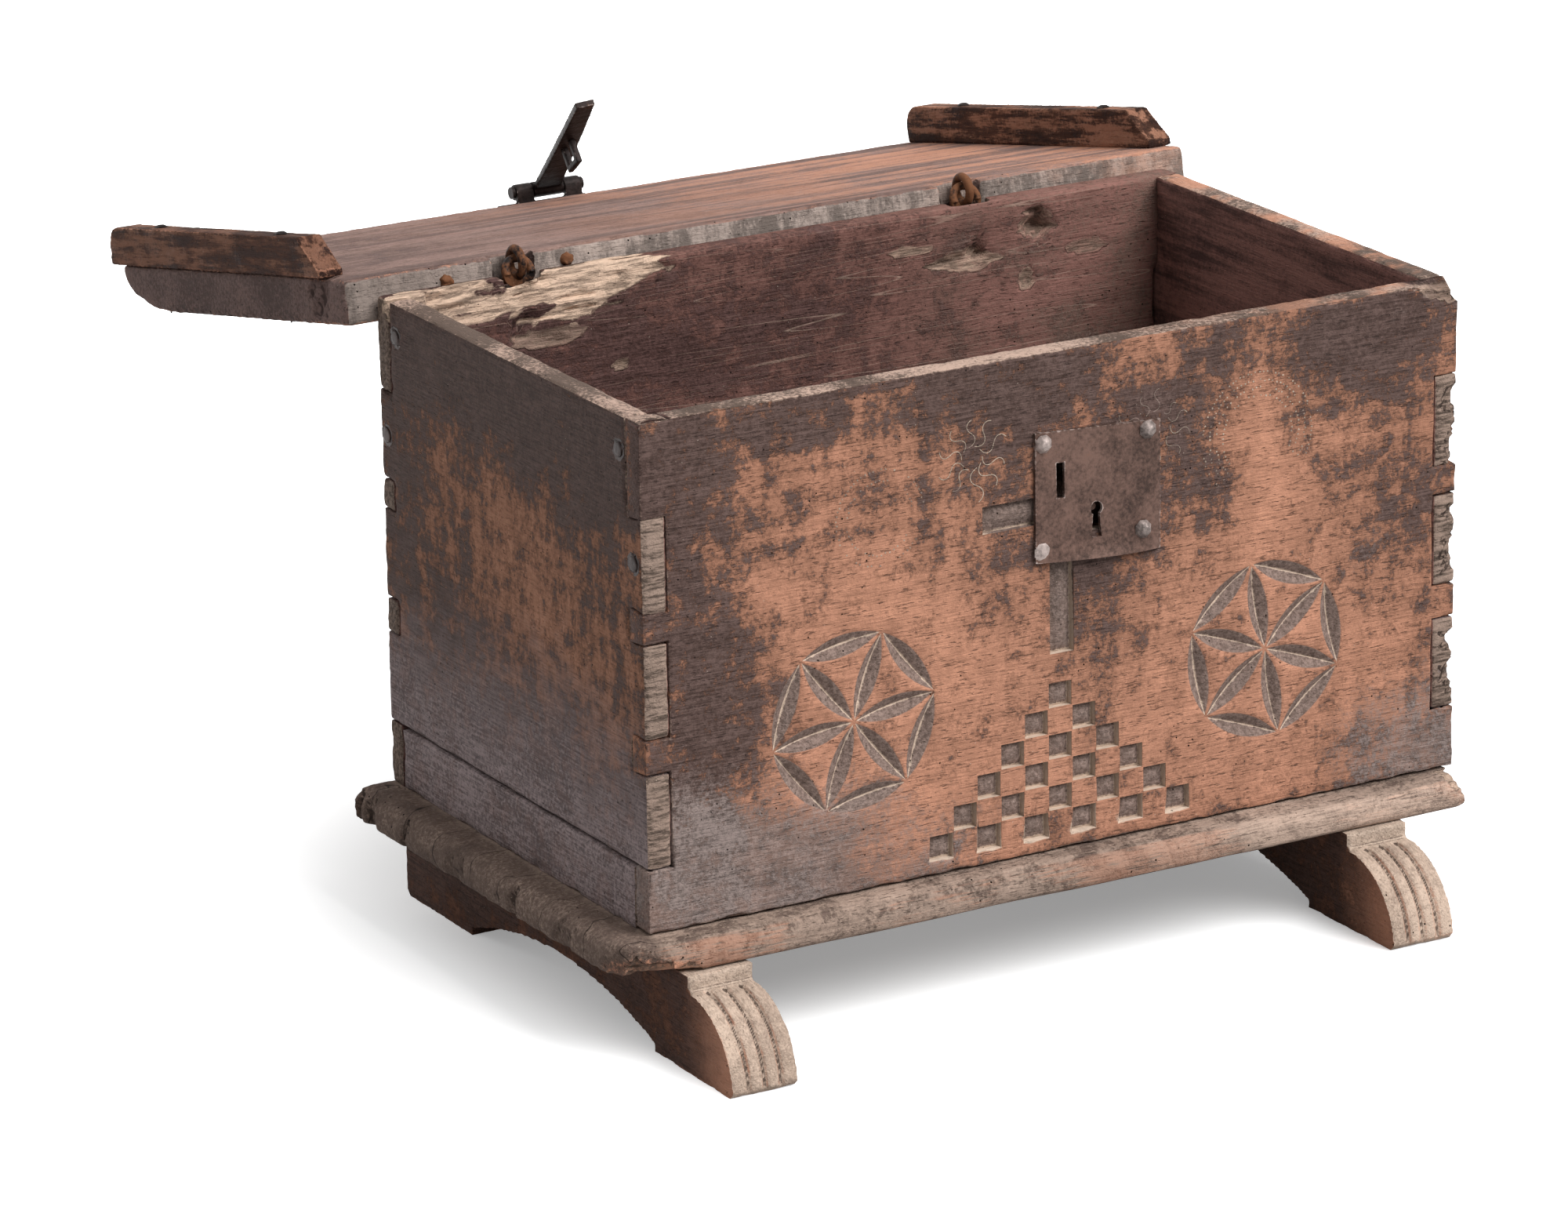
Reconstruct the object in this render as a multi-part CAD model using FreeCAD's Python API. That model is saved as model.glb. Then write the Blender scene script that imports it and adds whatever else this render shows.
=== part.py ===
import FreeCAD, Part
import math
import os

# A small dovetailed chest on two runner feet, its lid laid open on two pairs of linked eyes.
# Lengths are in millimetres: X along the front, Y to the back, Z up from the floor.
# The pieces are made with y = 0 at the front of the case; frame_y then moves them to the part's frame.

# Case
case_length = 480.0
case_depth = 280.0
case_height = 264.0
board = 14.0
seam = 1.0
front_gap = 1.2
tail_spans = ((0.129, 0.318), (0.383, 0.572), (0.629, 0.814))
tail_flare = 1.5
split_span = (-0.448, -0.167)
split_deep = 9.0
split_high = 26.0

# Base board
base_thick = 18.0
base_left_lip = 22.0
base_front_lip = 14.0
base_back_lip = 3.0
nose_top = 10.0
nose_bottom = 4.0
corner_loss = ((0.0, 24.0), (7.0, 9.0), (22.0, 0.0))
end_loss = ((0.0, 5.0), (0.08, 1.0), (0.2, 3.0), (0.45, 0.5), (0.7, 2.5), (1.0, 0.0))

# Runner feet
foot_width = 37.0
foot_height = 51.0
foot_inset_left = 30.5
foot_inset_right = 58.5
foot_back_out = 8.0
ledge_out = 2.4
ledge_high = 8.0
toe_reach = 43.6
toe_bulge = (0.68, 0.295)
heel_ease = 3.0
front_pad = 77.0
back_pad = 75.0
arch_rise = 20.5
arch_nib = 4.0
flute_count = 3
flute_radius = 1.7
peg_radius = 6.0
peg_into_foot = 26.0
peg_places = (0.16, 0.86)

# Lid and cleats
lid_thick = 24.0
lid_end_over = 16.0
lid_front_over = 1.4
lid_back_gap = 3.4
lid_nose = 60.0
lid_lip = 2.2
seat_gap = 0.3
open_angle = 191.2
cleat_high = 21.0
cleat_gap = 1.2
cleat_long = 263.0
cleat_overs = (13.0, -4.0)
cleat_round = 12.0
cleat_slope = 22.0
cleat_toe = 4.0
cleat_nail_places = (0.21, 0.79)

# Linked eyes
eye_places = (-0.329, 0.2354)
wire = 2.3
link_gap = 0.3
hinge_out = 1.0
hinge_up = 4.57
wall_eye_lean = 30.0
lid_eye_lean = 45.0
shank_wide = 8.0
shank_thick = 4.0
clench_reach = 8.0
clench_thick = 2.0
notch_wide = 24.0

# Hasp
slot_x = -1.8
hasp_shift = 11.5
pin_front = 4.5
pin_drop = 5.8
pin_radius = 2.0
pin_slip = 0.15
pin_head_radius = 3.4
pin_head_thick = 1.6
knuckle_radius = 4.5
knuckle_long = 19.0
side_knuckle_long = 10.6
knuckle_gap = 0.4
hasp_plate_left = 32.7
hasp_plate_right = 22.3
hasp_plate_thick = 3.0
hasp_plate_turn = 62.0
hasp_nail_turns = (24.0, 50.0)
hasp_nail_inset = 6.0
hasp_nail_long = 12.0
strap_length = 115.0
strap_thick = 3.6
strap_widths = ((0.0, 16.6), (0.3, 14.5), (1.0, 11.0))
staple_drop = 61.6
staple_wire = 3.5
staple_high = 14.5
staple_reach = 9.5
hasp_lean = 63.0

# Lock
lock_shift = (22.2, -9.2)
lock_plate_size = (74.0, 68.0)
lock_plate_slope = 0.0506
lock_plate_thick = 2.0
lock_nails = ((-0.438, 0.438, 4.0), (0.396, 0.407, 4.0), (0.357, -0.356, 4.0), (-0.447, -0.391, 0.8))
lock_nail_radius = 5.0
slot_half = (2.3, 9.2)
keyhole_at = (-1.1, -8.7)
keyhole_radius = 3.5
keyhole_skirt = (1.7, 2.8, 15.0)
cavity_x = (-31.4, 22.6)
cavity_z = (-20.7, 20.3)
bolt_size = (38.0, 5.0, 6.5)
bolt_stand_off = 0.4
bolt_rest = 4.8
bolt_notch = (14.5, 19.5, 1.8)
keeper_places = (7.0, 24.0)
keeper_wide = 4.0
keeper_band = 1.5
slide_gap = 0.3
cover_margin = 8.0
cover_thick = 1.5
key_post_radius = 2.0
key_post_short = 2.0
spring_thick = 1.0

# Carving on the front
carve_depth = 4.0
carve_over = 0.5
rosettes = ((-0.254, 0.344, 9.4), (0.2545, 0.326, 40.2))
rosette_radius = 0.18
petal_count = 6
petal_fill = 0.985
chequer_rows = 6
chequer_top = (-0.003, 0.317)
chequer_step = (0.0294, 0.0519)
chequer_fill = 0.96
cross_stem = (-0.2, 14.2, 0.4)
cross_arm = (-46.5, 14.5, 0.691)

# Nails
nail_wide = 3.2
nail_tip = 1.2
nail_head_radius = 4.0
nail_head_high = 1.6
base_nail_places = (-0.31, 0.0, 0.28)
corner_nails_at = ((8.0, 0.723, 3.0), (21.0, 0.932, 0.8))
corner_nail_high = 0.8

# Heights and places that follow from the sizes above
base_z = foot_height
case_z = base_z + base_thick
case_top = case_z + case_height
half = case_length / 2
lid_z = case_top + seat_gap
lid_top = lid_z + lid_thick
lid_half = half + lid_end_over
hinge_y = case_depth + hinge_out
hinge_z = lid_z + hinge_up
lid_back = hinge_y - lid_back_gap
lid_front = -lid_front_over
ring = 3 * wire + link_gap
link_reach = 2 * ring
lid_notch = 0.76 * link_reach
eye_xs = [place * case_length for place in eye_places]
base_front = -base_front_lip
base_back = case_depth + base_back_lip
foot_front = base_front - ledge_out
foot_back = base_back + foot_back_out
toe_y = foot_front - toe_reach
foot_xs = (-half + foot_inset_left, half - foot_inset_right)
pin_y = lid_front - pin_front
pin_z = lid_z - pin_drop
hasp_x = slot_x + hasp_shift
bolt_z = pin_z - staple_drop
lock_x = slot_x + lock_shift[0]
lock_z = bolt_z + lock_shift[1]
bolt_x = slot_x + bolt_rest
lid_swing = (hinge_y - lid_front + max(cleat_overs)) * math.cos(math.radians(open_angle - 180))
frame_y = -(toe_y + hinge_y + lid_swing) / 2

V = FreeCAD.Vector
X = V(1, 0, 0)
Y = V(0, 1, 0)
Z = V(0, 0, 1)


def block(x0, x1, y0, y1, z0, z1):
    """Box between two corners."""
    return Part.makeBox(x1 - x0, y1 - y0, z1 - z0, V(x0, y0, z0))


def prism(points, push):
    """Closed outline of points, pushed straight along a vector."""
    outline = Part.makePolygon(points + points[:1])
    return Part.Face(outline).extrude(push)


def yz_prism(outline, x0, x1):
    """Outline of (y, z) points, pushed from x0 to x1."""
    return prism([V(x0, y, z) for y, z in outline], X * (x1 - x0))


def xz_prism(outline, y0, y1):
    """Outline of (x, z) points, pushed from y0 to y1."""
    return prism([V(x, y0, z) for x, z in outline], Y * (y1 - y0))


def curved_prism(start, steps, x0, x1):
    """Outline of lines (y, z) and arcs ((y, z), (y, z)) from a start point, pushed from x0 to x1."""
    edges = []
    here = V(x0, *start)
    for step in steps + [start]:
        if isinstance(step[0], tuple):
            end = V(x0, *step[1])
            edges.append(Part.Arc(here, V(x0, *step[0]), end).toShape())
        else:
            end = V(x0, *step)
            edges.append(Part.makeLine(here, end))
        here = end
    return Part.Face(Part.Wire(edges)).extrude(X * (x1 - x0))


def frustum(size0, size1, length):
    """Flat-sided taper along +Y between two rectangles (x, z) centred on the axis."""
    a, b = size0[0] / 2, size0[1] / 2
    c, d = size1[0] / 2, size1[1] / 2
    return Part.makeWedge(-a, 0, -b, -d, -c, a, length, b, d, c)


def aimed(shape, place, direction):
    """Copy of a shape made along +Y, set at a place and aimed in a direction."""
    copy = shape.copy()
    copy.Placement = FreeCAD.Placement(place, FreeCAD.Rotation(Y, direction))
    return copy


def eight_sided(radius, top_radius, length):
    """Faceted taper along +Y with eight sides."""
    square = frustum((2 * radius, 2 * radius), (2 * top_radius, 2 * top_radius), length)
    other = square.copy()
    other.rotate(V(0, 0, 0), Y, 45)
    return square.common(other)


def nail(place, direction, length, radius=nail_head_radius, high=nail_head_high):
    """Forged nail with its head on the surface at place, driven in a direction."""
    shank = frustum((nail_wide, nail_wide), (nail_tip, nail_tip), length)
    head = eight_sided(radius, radius * 0.45, high)
    return aimed(shank, place, direction).fuse(aimed(head, place, direction * -1)).removeSplitter()


def turned(shape, y, z, degrees):
    """Copy turned about an axis along +X through (y, z)."""
    copy = shape.copy()
    copy.rotate(V(0, y, z), X, degrees)
    return copy


def opened(shape):
    """Copy of a lid piece, turned from the closed lid to the open one."""
    return turned(shape, hinge_y, hinge_z, -open_angle)


def joined(first, *others):
    """One solid from pieces that touch."""
    return first.multiFuse(list(others)).removeSplitter()


def end_board(x0):
    """Upright end board with dovetails at both ends, from x0 inwards by its thickness."""
    low = case_z + tail_spans[0][0] * case_height
    near = [(board, low)]
    for bottom, top in tail_spans:
        z0 = case_z + bottom * case_height
        z1 = case_z + top * case_height
        root = z0 + tail_flare
        if bottom == tail_spans[0][0]:
            root = z0
        near += [(board, root), (0.0, z0), (0.0, z1), (board, z1 - tail_flare)]
    near = near[1:] + [(board, case_top)]
    far = [(case_depth - y, z) for y, z in reversed(near)]
    return yz_prism(near + far, x0, x0 + board)


def lower_strip(x0):
    """Strip that closes the end of the case under the end board."""
    top = case_z + tail_spans[0][0] * case_height - seam
    return block(x0, x0 + board, board, case_depth - board, case_z, top)


def petal(x0, z0, x1, z1):
    """V-cut lens between two tips, where two cones meet."""
    mid_x, mid_z = (x0 + x1) / 2, (z0 + z1) / 2
    span_x, span_z = (x1 - x0) * petal_fill, (z1 - z0) * petal_fill
    radius = math.hypot(span_x, span_z)
    rise = math.sqrt(3) / 2
    slope = radius * (1 - rise) / carve_depth
    cones = []
    for side in (-1, 1):
        centre = V(mid_x - side * rise * span_z, -carve_over, mid_z + side * rise * span_x)
        wide = radius + slope * carve_over
        cones.append(Part.makeCone(wide, radius * rise, carve_depth + carve_over, centre, Y))
    return cones[0].common(cones[1])


def rosette(place_x, place_z, turn):
    """Six petals about a centre and six lenses around them."""
    x, z = place_x * case_length, case_z + place_z * case_height
    radius = rosette_radius * case_height
    angles = [math.radians(turn + 360 * i / petal_count) for i in range(petal_count)]
    tips = [(x + radius * math.cos(a), z + radius * math.sin(a)) for a in angles]
    cuts = []
    for i in range(petal_count):
        cuts.append(petal(x, z, *tips[i]))
        cuts.append(petal(*tips[i - 1], *tips[i]))
    return cuts


def pocket(x, z, wide, high):
    """Cut pocket with steep walls and a low hipped ridge left in it."""
    narrow = min(wide, high) * 0.9
    cut = block(x - wide / 2, x + wide / 2, -carve_over, carve_depth, z - high / 2, z + high / 2)
    ridge = frustum((wide - narrow, high - narrow), (wide, high), carve_depth * 0.6)
    return cut.cut(aimed(ridge, V(x, carve_depth * 0.4, z), Y))


def chequer():
    """Triangle of pockets, one more in each row down."""
    step_x, step_z = chequer_step[0] * case_length, chequer_step[1] * case_height
    cuts = []
    for row in range(chequer_rows):
        z = case_z + chequer_top[1] * case_height - row * step_z
        for i in range(row + 1):
            x = chequer_top[0] * case_length + (2 * i - row) * step_x
            cuts.append(pocket(x, z, step_x * chequer_fill, step_z * chequer_fill))
    return cuts


def cross():
    """Two long pockets that run under the lock plate."""
    stem_x, stem_wide, stem_low = cross_stem
    low = case_z + stem_low * case_height
    high = lock_z + cavity_z[0] + carve_depth
    arm_x, arm_wide, arm_z = cross_arm
    right = lock_x + cavity_x[0] + carve_depth
    middle = case_z + arm_z * case_height
    return [
        pocket(stem_x, (low + high) / 2, stem_wide, high - low),
        pocket((arm_x + right) / 2, middle, right - arm_x, arm_wide),
    ]


def base_board():
    """Board with a rounded nose at the front and left, worn at one corner and broken at one end."""
    left = -half - base_left_lip
    plan = [V(left + x, base_front + y, base_z) for x, y in corner_loss[::-1]]
    plan += [V(left, base_back, base_z)]
    depth = base_back - base_front
    plan += [V(half - loss, base_back - part * depth, base_z) for part, loss in end_loss]
    solid = prism(plan, Z * base_thick)
    rounded = []
    for low, high in ((base_front, base_back), (left, half)):
        start = (high, base_z)
        bottom = nose_bottom * (1 - math.sqrt(0.5))
        top = nose_top * (1 - math.sqrt(0.5))
        steps = [
            (low + nose_bottom, base_z),
            ((low + bottom, base_z + bottom), (low, base_z + nose_bottom)),
            (low, case_z - nose_top),
            ((low + top, case_z - top), (low + nose_top, case_z)),
            (high, case_z),
        ]
        rounded.append((start, steps))
    front = curved_prism(*rounded[0], left, half)
    side = curved_prism(*rounded[1], -base_back, -base_front)
    side.rotate(V(0, 0, 0), Z, -90)
    return solid.common(front).common(side)


def runner_foot(x):
    """Foot with a fluted toe, a ledge under the base board and an arch between two pads."""
    toe_top = foot_height - ledge_high
    bulge_y = foot_front - toe_bulge[0] * toe_reach
    bulge_z = toe_top - toe_bulge[1] * (toe_top - heel_ease)
    arch_front = toe_y + heel_ease + front_pad
    arch_back = foot_back - back_pad
    start = (foot_back, foot_height)
    steps = [
        (foot_front, foot_height),
        (foot_front, toe_top),
        ((bulge_y, bulge_z), (toe_y, heel_ease)),
        (toe_y + heel_ease, 0.0),
        (arch_front, 0.0),
        (arch_front, arch_nib),
        (((arch_front + arch_back) / 2, arch_rise), (arch_back, arch_nib)),
        (arch_back, 0.0),
        (foot_back - heel_ease, 0.0),
        (foot_back, heel_ease),
    ]
    solid = curved_prism(start, steps, x - foot_width / 2, x + foot_width / 2)
    bend = Part.Arc(V(x, foot_front, toe_top), V(x, bulge_y, bulge_z), V(x, toe_y, heel_ease))
    curve = bend.toShape().Curve
    reach = block(x - foot_width, x + foot_width, toe_y - toe_reach, foot_front - ledge_out, 0.0, toe_top)
    flutes = []
    for i in range(flute_count):
        shift = X * (foot_width * ((i + 1) / (flute_count + 1) - 0.5))
        groove = Part.makeTorus(curve.Radius, flute_radius, curve.Center + shift, X)
        flutes.append(groove.common(reach))
    return solid.cut(flutes)


def nose_point(turn, grow=0.0):
    """Point (y, z) on the rounded front of the closed lid, from 0 at its lip to 90 at its top."""
    angle = math.radians(turn)
    y = lid_front + lid_nose - (lid_nose + grow) * math.cos(angle)
    z = lid_z + lid_lip + (lid_thick - lid_lip + grow) * math.sin(angle)
    return y, z


def lid_blank():
    """Lid board with its rounded front edge."""
    steps = [
        (lid_front, lid_z),
        nose_point(0),
        (nose_point(22.5), nose_point(45)),
        (nose_point(67.5), nose_point(90)),
        (lid_back, lid_top),
    ]
    return curved_prism((lid_back, lid_z), steps, -lid_half, lid_half)


def cleat(x0, x1, over):
    """Batten under the end of the lid, rounded at the front and sloping to a toe at the back."""
    low = lid_z - cleat_high
    front = lid_front - over
    back = front + cleat_long
    middle = cleat_round * (1 - math.sqrt(0.5))
    steps = [
        (front, lid_z),
        (front, low + cleat_round),
        ((front + middle, low + middle), (front + cleat_round, low)),
        (back - cleat_slope, low),
        (back, lid_z - cleat_toe),
    ]
    return curved_prism((back, lid_z), steps, x0, x1)


def wall_eye(x):
    """Eye clenched through the back board, its ring lying across the hinge axis."""
    lean = math.radians(wall_eye_lean)
    along = V(0, -math.sin(lean), -math.cos(lean))
    across = V(0, math.cos(lean), -math.sin(lean))
    centre = V(x, hinge_y, hinge_z) + along * (ring - wire)
    inner = case_depth - board
    loop = Part.makeTorus(ring, wire, centre, across)
    length = (hinge_y - inner) / math.sin(lean)
    bar = frustum((shank_wide, shank_thick), (shank_wide, shank_thick), length)
    shank = aimed(bar, centre + along * ring, along)
    shank = shank.cut(block(x - half, x + half, -case_depth, inner - clench_thick, 0, 2 * case_top))
    foot_z = hinge_z - (hinge_y - inner) / math.tan(lean)
    wide = shank_thick / 2
    clench = block(x - clench_reach, x + clench_reach, inner - clench_thick, inner,
                   foot_z - wide, foot_z + wide)
    return joined(loop, shank, clench)


def lid_eye(x):
    """Eye clenched through the lid, its ring turning on the hinge axis."""
    lean = math.radians(lid_eye_lean)
    along = V(0, -math.sin(lean), math.cos(lean))
    centre = V(x, hinge_y, hinge_z)
    loop = Part.makeTorus(ring, wire, centre, X)
    length = 2 * (lid_top - hinge_z) / math.cos(lean)
    bar = frustum((shank_wide, shank_thick), (shank_wide, shank_thick), length)
    shank = aimed(bar, centre + along * ring, along)
    over = lid_top + clench_thick
    shank = shank.cut(block(x - half, x + half, -case_depth, 2 * case_depth, over, 2 * over))
    foot_y = hinge_y - (lid_top - hinge_z) * math.tan(lean)
    wide = shank_thick / 2
    clench = block(x - clench_reach, x + clench_reach, foot_y - wide, foot_y + wide, lid_top, over)
    return joined(loop, shank, clench)


def tube(x0, x1, y, z, radius):
    """Round bar along X."""
    return Part.makeCylinder(radius, x1 - x0, V(x0, y, z), X)


def hasp_plate():
    """Leaf bent over the front of the lid, with a knuckle at each side of the strap."""
    face = lid_front - hasp_plate_thick
    quarter = hasp_plate_turn / 4
    outer = [nose_point(quarter * i, hasp_plate_thick) for i in range(5)]
    steps = [outer[0], (outer[1], outer[2]), (outer[3], outer[4]), (outer[4][0], lid_z)]
    leaf = curved_prism((face, lid_z), steps, hasp_x - hasp_plate_left, hasp_x + hasp_plate_right)
    gap = knuckle_long / 2 + knuckle_gap
    pieces = []
    for x0, x1 in ((-gap - side_knuckle_long, -gap), (gap, gap + side_knuckle_long)):
        pieces.append(block(hasp_x + x0, hasp_x + x1, face, lid_front, pin_z, lid_z))
        pieces.append(tube(hasp_x + x0, hasp_x + x1, pin_y, pin_z, knuckle_radius))
    bore = tube(hasp_x - case_depth, hasp_x + case_depth, pin_y, pin_z, pin_radius + pin_slip)
    return joined(leaf.cut(lid_blank()), *pieces).cut(bore)


def hasp_nail(x, turn):
    """Nail driven square through the leaf of the hasp into the front of the lid."""
    angle = math.radians(turn)
    into = V(0, math.cos(angle) / lid_nose, -math.sin(angle) / (lid_thick - lid_lip))
    place = V(x, *nose_point(turn, hasp_plate_thick))
    return nail(place, into.normalize(), hasp_nail_long, nail_head_radius * 0.8)


def hasp_pin():
    """Pin with a small head at each end."""
    reach = knuckle_long / 2 + 2 * knuckle_gap + side_knuckle_long
    rod = tube(hasp_x - reach, hasp_x + reach, pin_y, pin_z, pin_radius)
    heads = []
    for x in (hasp_x - reach - pin_head_thick, hasp_x + reach):
        heads.append(tube(x, x + pin_head_thick, pin_y, pin_z, pin_head_radius))
    return joined(rod, *heads)


def hasp_staple():
    """Loop on the back of the strap, with its legs riveted through the strap."""
    front = pin_y - strap_thick / 2 - staple_wire / 4
    outer = block(slot_x - staple_wire / 2, slot_x + staple_wire / 2, front, staple_reach,
                  bolt_z - staple_high / 2, bolt_z + staple_high / 2)
    inside = staple_high / 2 - staple_wire
    inner = block(slot_x - staple_wire, slot_x + staple_wire, front - staple_wire,
                  staple_reach - staple_wire, bolt_z - inside, bolt_z + inside)
    return outer.cut(inner)


def hasp_strap():
    """Tapered strap hanging from its knuckle, set askew so that its staple meets the slot."""
    skew = math.atan2(hasp_shift, staple_drop)
    down = (-math.sin(skew), -math.cos(skew))
    side = (math.cos(skew), -math.sin(skew))
    outline = []
    for sign, spans in ((1, strap_widths), (-1, strap_widths[::-1])):
        for part, wide in spans:
            t, s = part * strap_length, sign * wide / 2
            outline.append((hasp_x + t * down[0] + s * side[0], pin_z + t * down[1] + s * side[1]))
    plate = xz_prism(outline, pin_y - strap_thick / 2, pin_y + strap_thick / 2)
    knuckle = tube(hasp_x - knuckle_long / 2, hasp_x + knuckle_long / 2, pin_y, pin_z, knuckle_radius)
    trim = block(-half, half, -case_depth, case_depth, pin_z, 2 * case_top)
    bore = tube(-half, half, pin_y, pin_z, pin_radius + pin_slip)
    return joined(plate.cut(trim), knuckle).cut([bore, hasp_staple()])


def lock_outline():
    """Corners of the lock plate, its top and bottom edges sloping."""
    w, h = lock_plate_size[0] / 2, lock_plate_size[1] / 2
    corners = ((-w, -h), (w, -h), (w, h), (-w, h))
    return [(lock_x + x, lock_z + z - lock_plate_slope * x) for x, z in corners]


def lock_plate():
    """Plate with the slot of the staple and the keyhole."""
    plate = xz_prism(lock_outline(), -lock_plate_thick, 0.0)
    slot = block(slot_x - slot_half[0], slot_x + slot_half[0], -case_depth, case_depth,
                 bolt_z - slot_half[1], bolt_z + slot_half[1])
    x, z = lock_x + keyhole_at[0], lock_z + keyhole_at[1]
    eye = Part.makeCylinder(keyhole_radius, 2 * case_depth, V(x, -case_depth, z), Y)
    top, low, drop = keyhole_skirt
    skirt = xz_prism([(x - top, z), (x + top, z), (x + low, z - drop), (x - low, z - drop)],
                     -case_depth, case_depth)
    return plate.cut([slot, eye, skirt])


def lock_bolt():
    """Bar that slides through the staple, with a notch for the key."""
    long, thick, high = bolt_size
    low = bolt_z - high / 2
    bar = block(bolt_x, bolt_x + long, bolt_stand_off, bolt_stand_off + thick, low, low + high)
    left, right, deep = bolt_notch
    notch = block(bolt_x + left, bolt_x + right, -thick, 2 * thick, low - deep, low + deep)
    return bar.cut(notch)


def keeper(place):
    """Staple-shaped guide around the bolt on the back of the lock plate."""
    x0 = bolt_x + place - keeper_wide / 2
    inner = bolt_stand_off + bolt_size[1] + slide_gap
    high = bolt_size[2] / 2 + slide_gap
    outer = block(x0, x0 + keeper_wide, 0.0, inner + keeper_band,
                  bolt_z - high - keeper_band, bolt_z + high + keeper_band)
    return outer.cut(block(x0, x0 + keeper_wide, -inner, inner, bolt_z - high, bolt_z + high))


def bolt_spring():
    """Bent leaf above the bolt, held at one end on the lock plate."""
    top = bolt_z + bolt_size[2] / 2 + slide_gap
    over = bolt_z + bolt_size[2] / 2 + slide_gap + keeper_band + 2 * slide_gap
    first = bolt_x + keeper_places[0] + keeper_wide
    last = bolt_x + keeper_places[1] - keeper_wide
    right = lock_x + cavity_x[1]
    line = [(first, top), ((first + last) / 2, top), (last, over), (right - keeper_wide, over)]
    back = [(x, z + spring_thick) for x, z in reversed(line)]
    leaf = xz_prism(line + back, 0.0, bolt_size[1] - bolt_stand_off)
    foot = block(right - keeper_wide, right - slide_gap, 0.0, bolt_size[1] - bolt_stand_off,
                 over, lock_z + cavity_z[1] - slide_gap)
    return joined(leaf, foot)


# Case
left_end = end_board(-half)
right_end = end_board(half - board)
left_strip = lower_strip(-half)
right_strip = lower_strip(half - board)
corner_nails = []
for side in (-1, 1):
    for inset, height, boards in corner_nails_at:
        for y in (inset, case_depth - inset):
            place = V(side * half, y, case_z + height * case_height)
            corner_nails.append(nail(place, X * -side, boards * board, high=corner_nail_high))

base_nails = []
for part in base_nail_places:
    for y in (board / 2, case_depth - board / 2):
        base_nails.append(nail(V(part * case_length, y, base_z), Z, base_thick + 2 * board))

pegs = []
feet_blank = []
for x in foot_xs:
    feet_blank.append(runner_foot(x))
    for part in peg_places:
        peg = eight_sided(peg_radius, peg_radius, base_thick + peg_into_foot)
        pegs.append(aimed(peg, V(x, part * case_depth, case_z), Z * -1))
feet = [foot.cut(pegs) for foot in feet_blank]
base = base_board().cut(pegs + base_nails)

plate_nails = []
for x, z, high in lock_nails:
    place = V(lock_x + x * lock_plate_size[0], -lock_plate_thick, lock_z + z * lock_plate_size[1])
    plate_nails.append(nail(place, Y, board * 0.8, lock_nail_radius, high))
cavity = block(lock_x + cavity_x[0], lock_x + cavity_x[1], -board, 2 * board,
               lock_z + cavity_z[0], lock_z + cavity_z[1])
cover_x = (lock_x + cavity_x[0] - cover_margin, lock_x + cavity_x[1] + cover_margin)
cover_z = (lock_z + cavity_z[0] - cover_margin, lock_z + cavity_z[1] + cover_margin)
cover_nails = []
for x in (cover_x[0] + cover_margin / 2, cover_x[1] - cover_margin / 2):
    place = V(x, board + cover_thick, sum(cover_z) / 2)
    cover_nails.append(nail(place, Y * -1, board * 0.7, cover_margin * 0.3))
for z in (cover_z[0] + cover_margin / 2, cover_z[1] - cover_margin / 2):
    place = V(sum(cover_x) / 2, board + cover_thick, z)
    cover_nails.append(nail(place, Y * -1, board * 0.7, cover_margin * 0.3))
cover = block(*cover_x, board, board + cover_thick, *cover_z).cut(cover_nails)

front = block(-half, half, 0.0, board, case_z + front_gap, case_top)
front = front.cut([left_end, right_end, cavity])
front = front.cut(chequer() + cross())
for spot in rosettes:
    front = front.cut(rosette(*spot))
front = front.cut(corner_nails + base_nails + plate_nails + cover_nails)

wall_eyes = [wall_eye(x) for x in eye_xs]
inner = case_depth - board
split_x = [part * case_length for part in split_span]
split = yz_prism([(inner, case_top - split_high), (inner + split_deep, case_top), (inner, case_top)], *split_x)
split.rotate(V(split_x[0], inner, case_top), Z, -math.degrees(math.atan2(split_deep, split_x[1] - split_x[0])))
notches = []
for x in eye_xs:
    notches.append(block(x - notch_wide / 2, x + notch_wide / 2, hinge_y - ring - wire - hinge_out / 2,
                         case_depth, hinge_z - link_reach, case_top))
back = block(-half, half, case_depth - board, case_depth, case_z, case_top)
back = back.cut([left_end, right_end, split] + notches)
back = back.cut(wall_eyes + corner_nails + base_nails)
left_end = left_end.cut(corner_nails)
right_end = right_end.cut(corner_nails)

key_place = V(lock_x + keyhole_at[0], key_post_short, lock_z + keyhole_at[1])
key_post = Part.makeCylinder(key_post_radius, board - key_post_short, key_place, Y)

# Lid, made closed
lid_eyes = [lid_eye(x) for x in eye_xs]
cleat_in = half + cleat_gap
cleats = [cleat(-lid_half, -cleat_in, cleat_overs[0]), cleat(cleat_in, lid_half, cleat_overs[1])]
cleat_nails = []
for side, over in zip((-1, 1), cleat_overs):
    for part in cleat_nail_places:
        y = lid_front - over + part * cleat_long
        place = V(side * (cleat_in + lid_half) / 2, y, lid_z - cleat_high)
        cleat_nails.append(nail(place, Z, cleat_high + lid_thick + clench_thick))
hasp_nails = []
for x in (hasp_nail_inset - hasp_plate_left, hasp_plate_right - hasp_nail_inset):
    hasp_nails += [hasp_nail(hasp_x + x, turn) for turn in hasp_nail_turns]
lid = lid_blank()
for x in eye_xs:
    lid = lid.cut(block(x - notch_wide / 2, x + notch_wide / 2, hinge_y - lid_notch, lid_back,
                        lid_z, hinge_z + lid_notch))
lid = lid.cut(lid_eyes + cleat_nails + hasp_nails)

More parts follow.
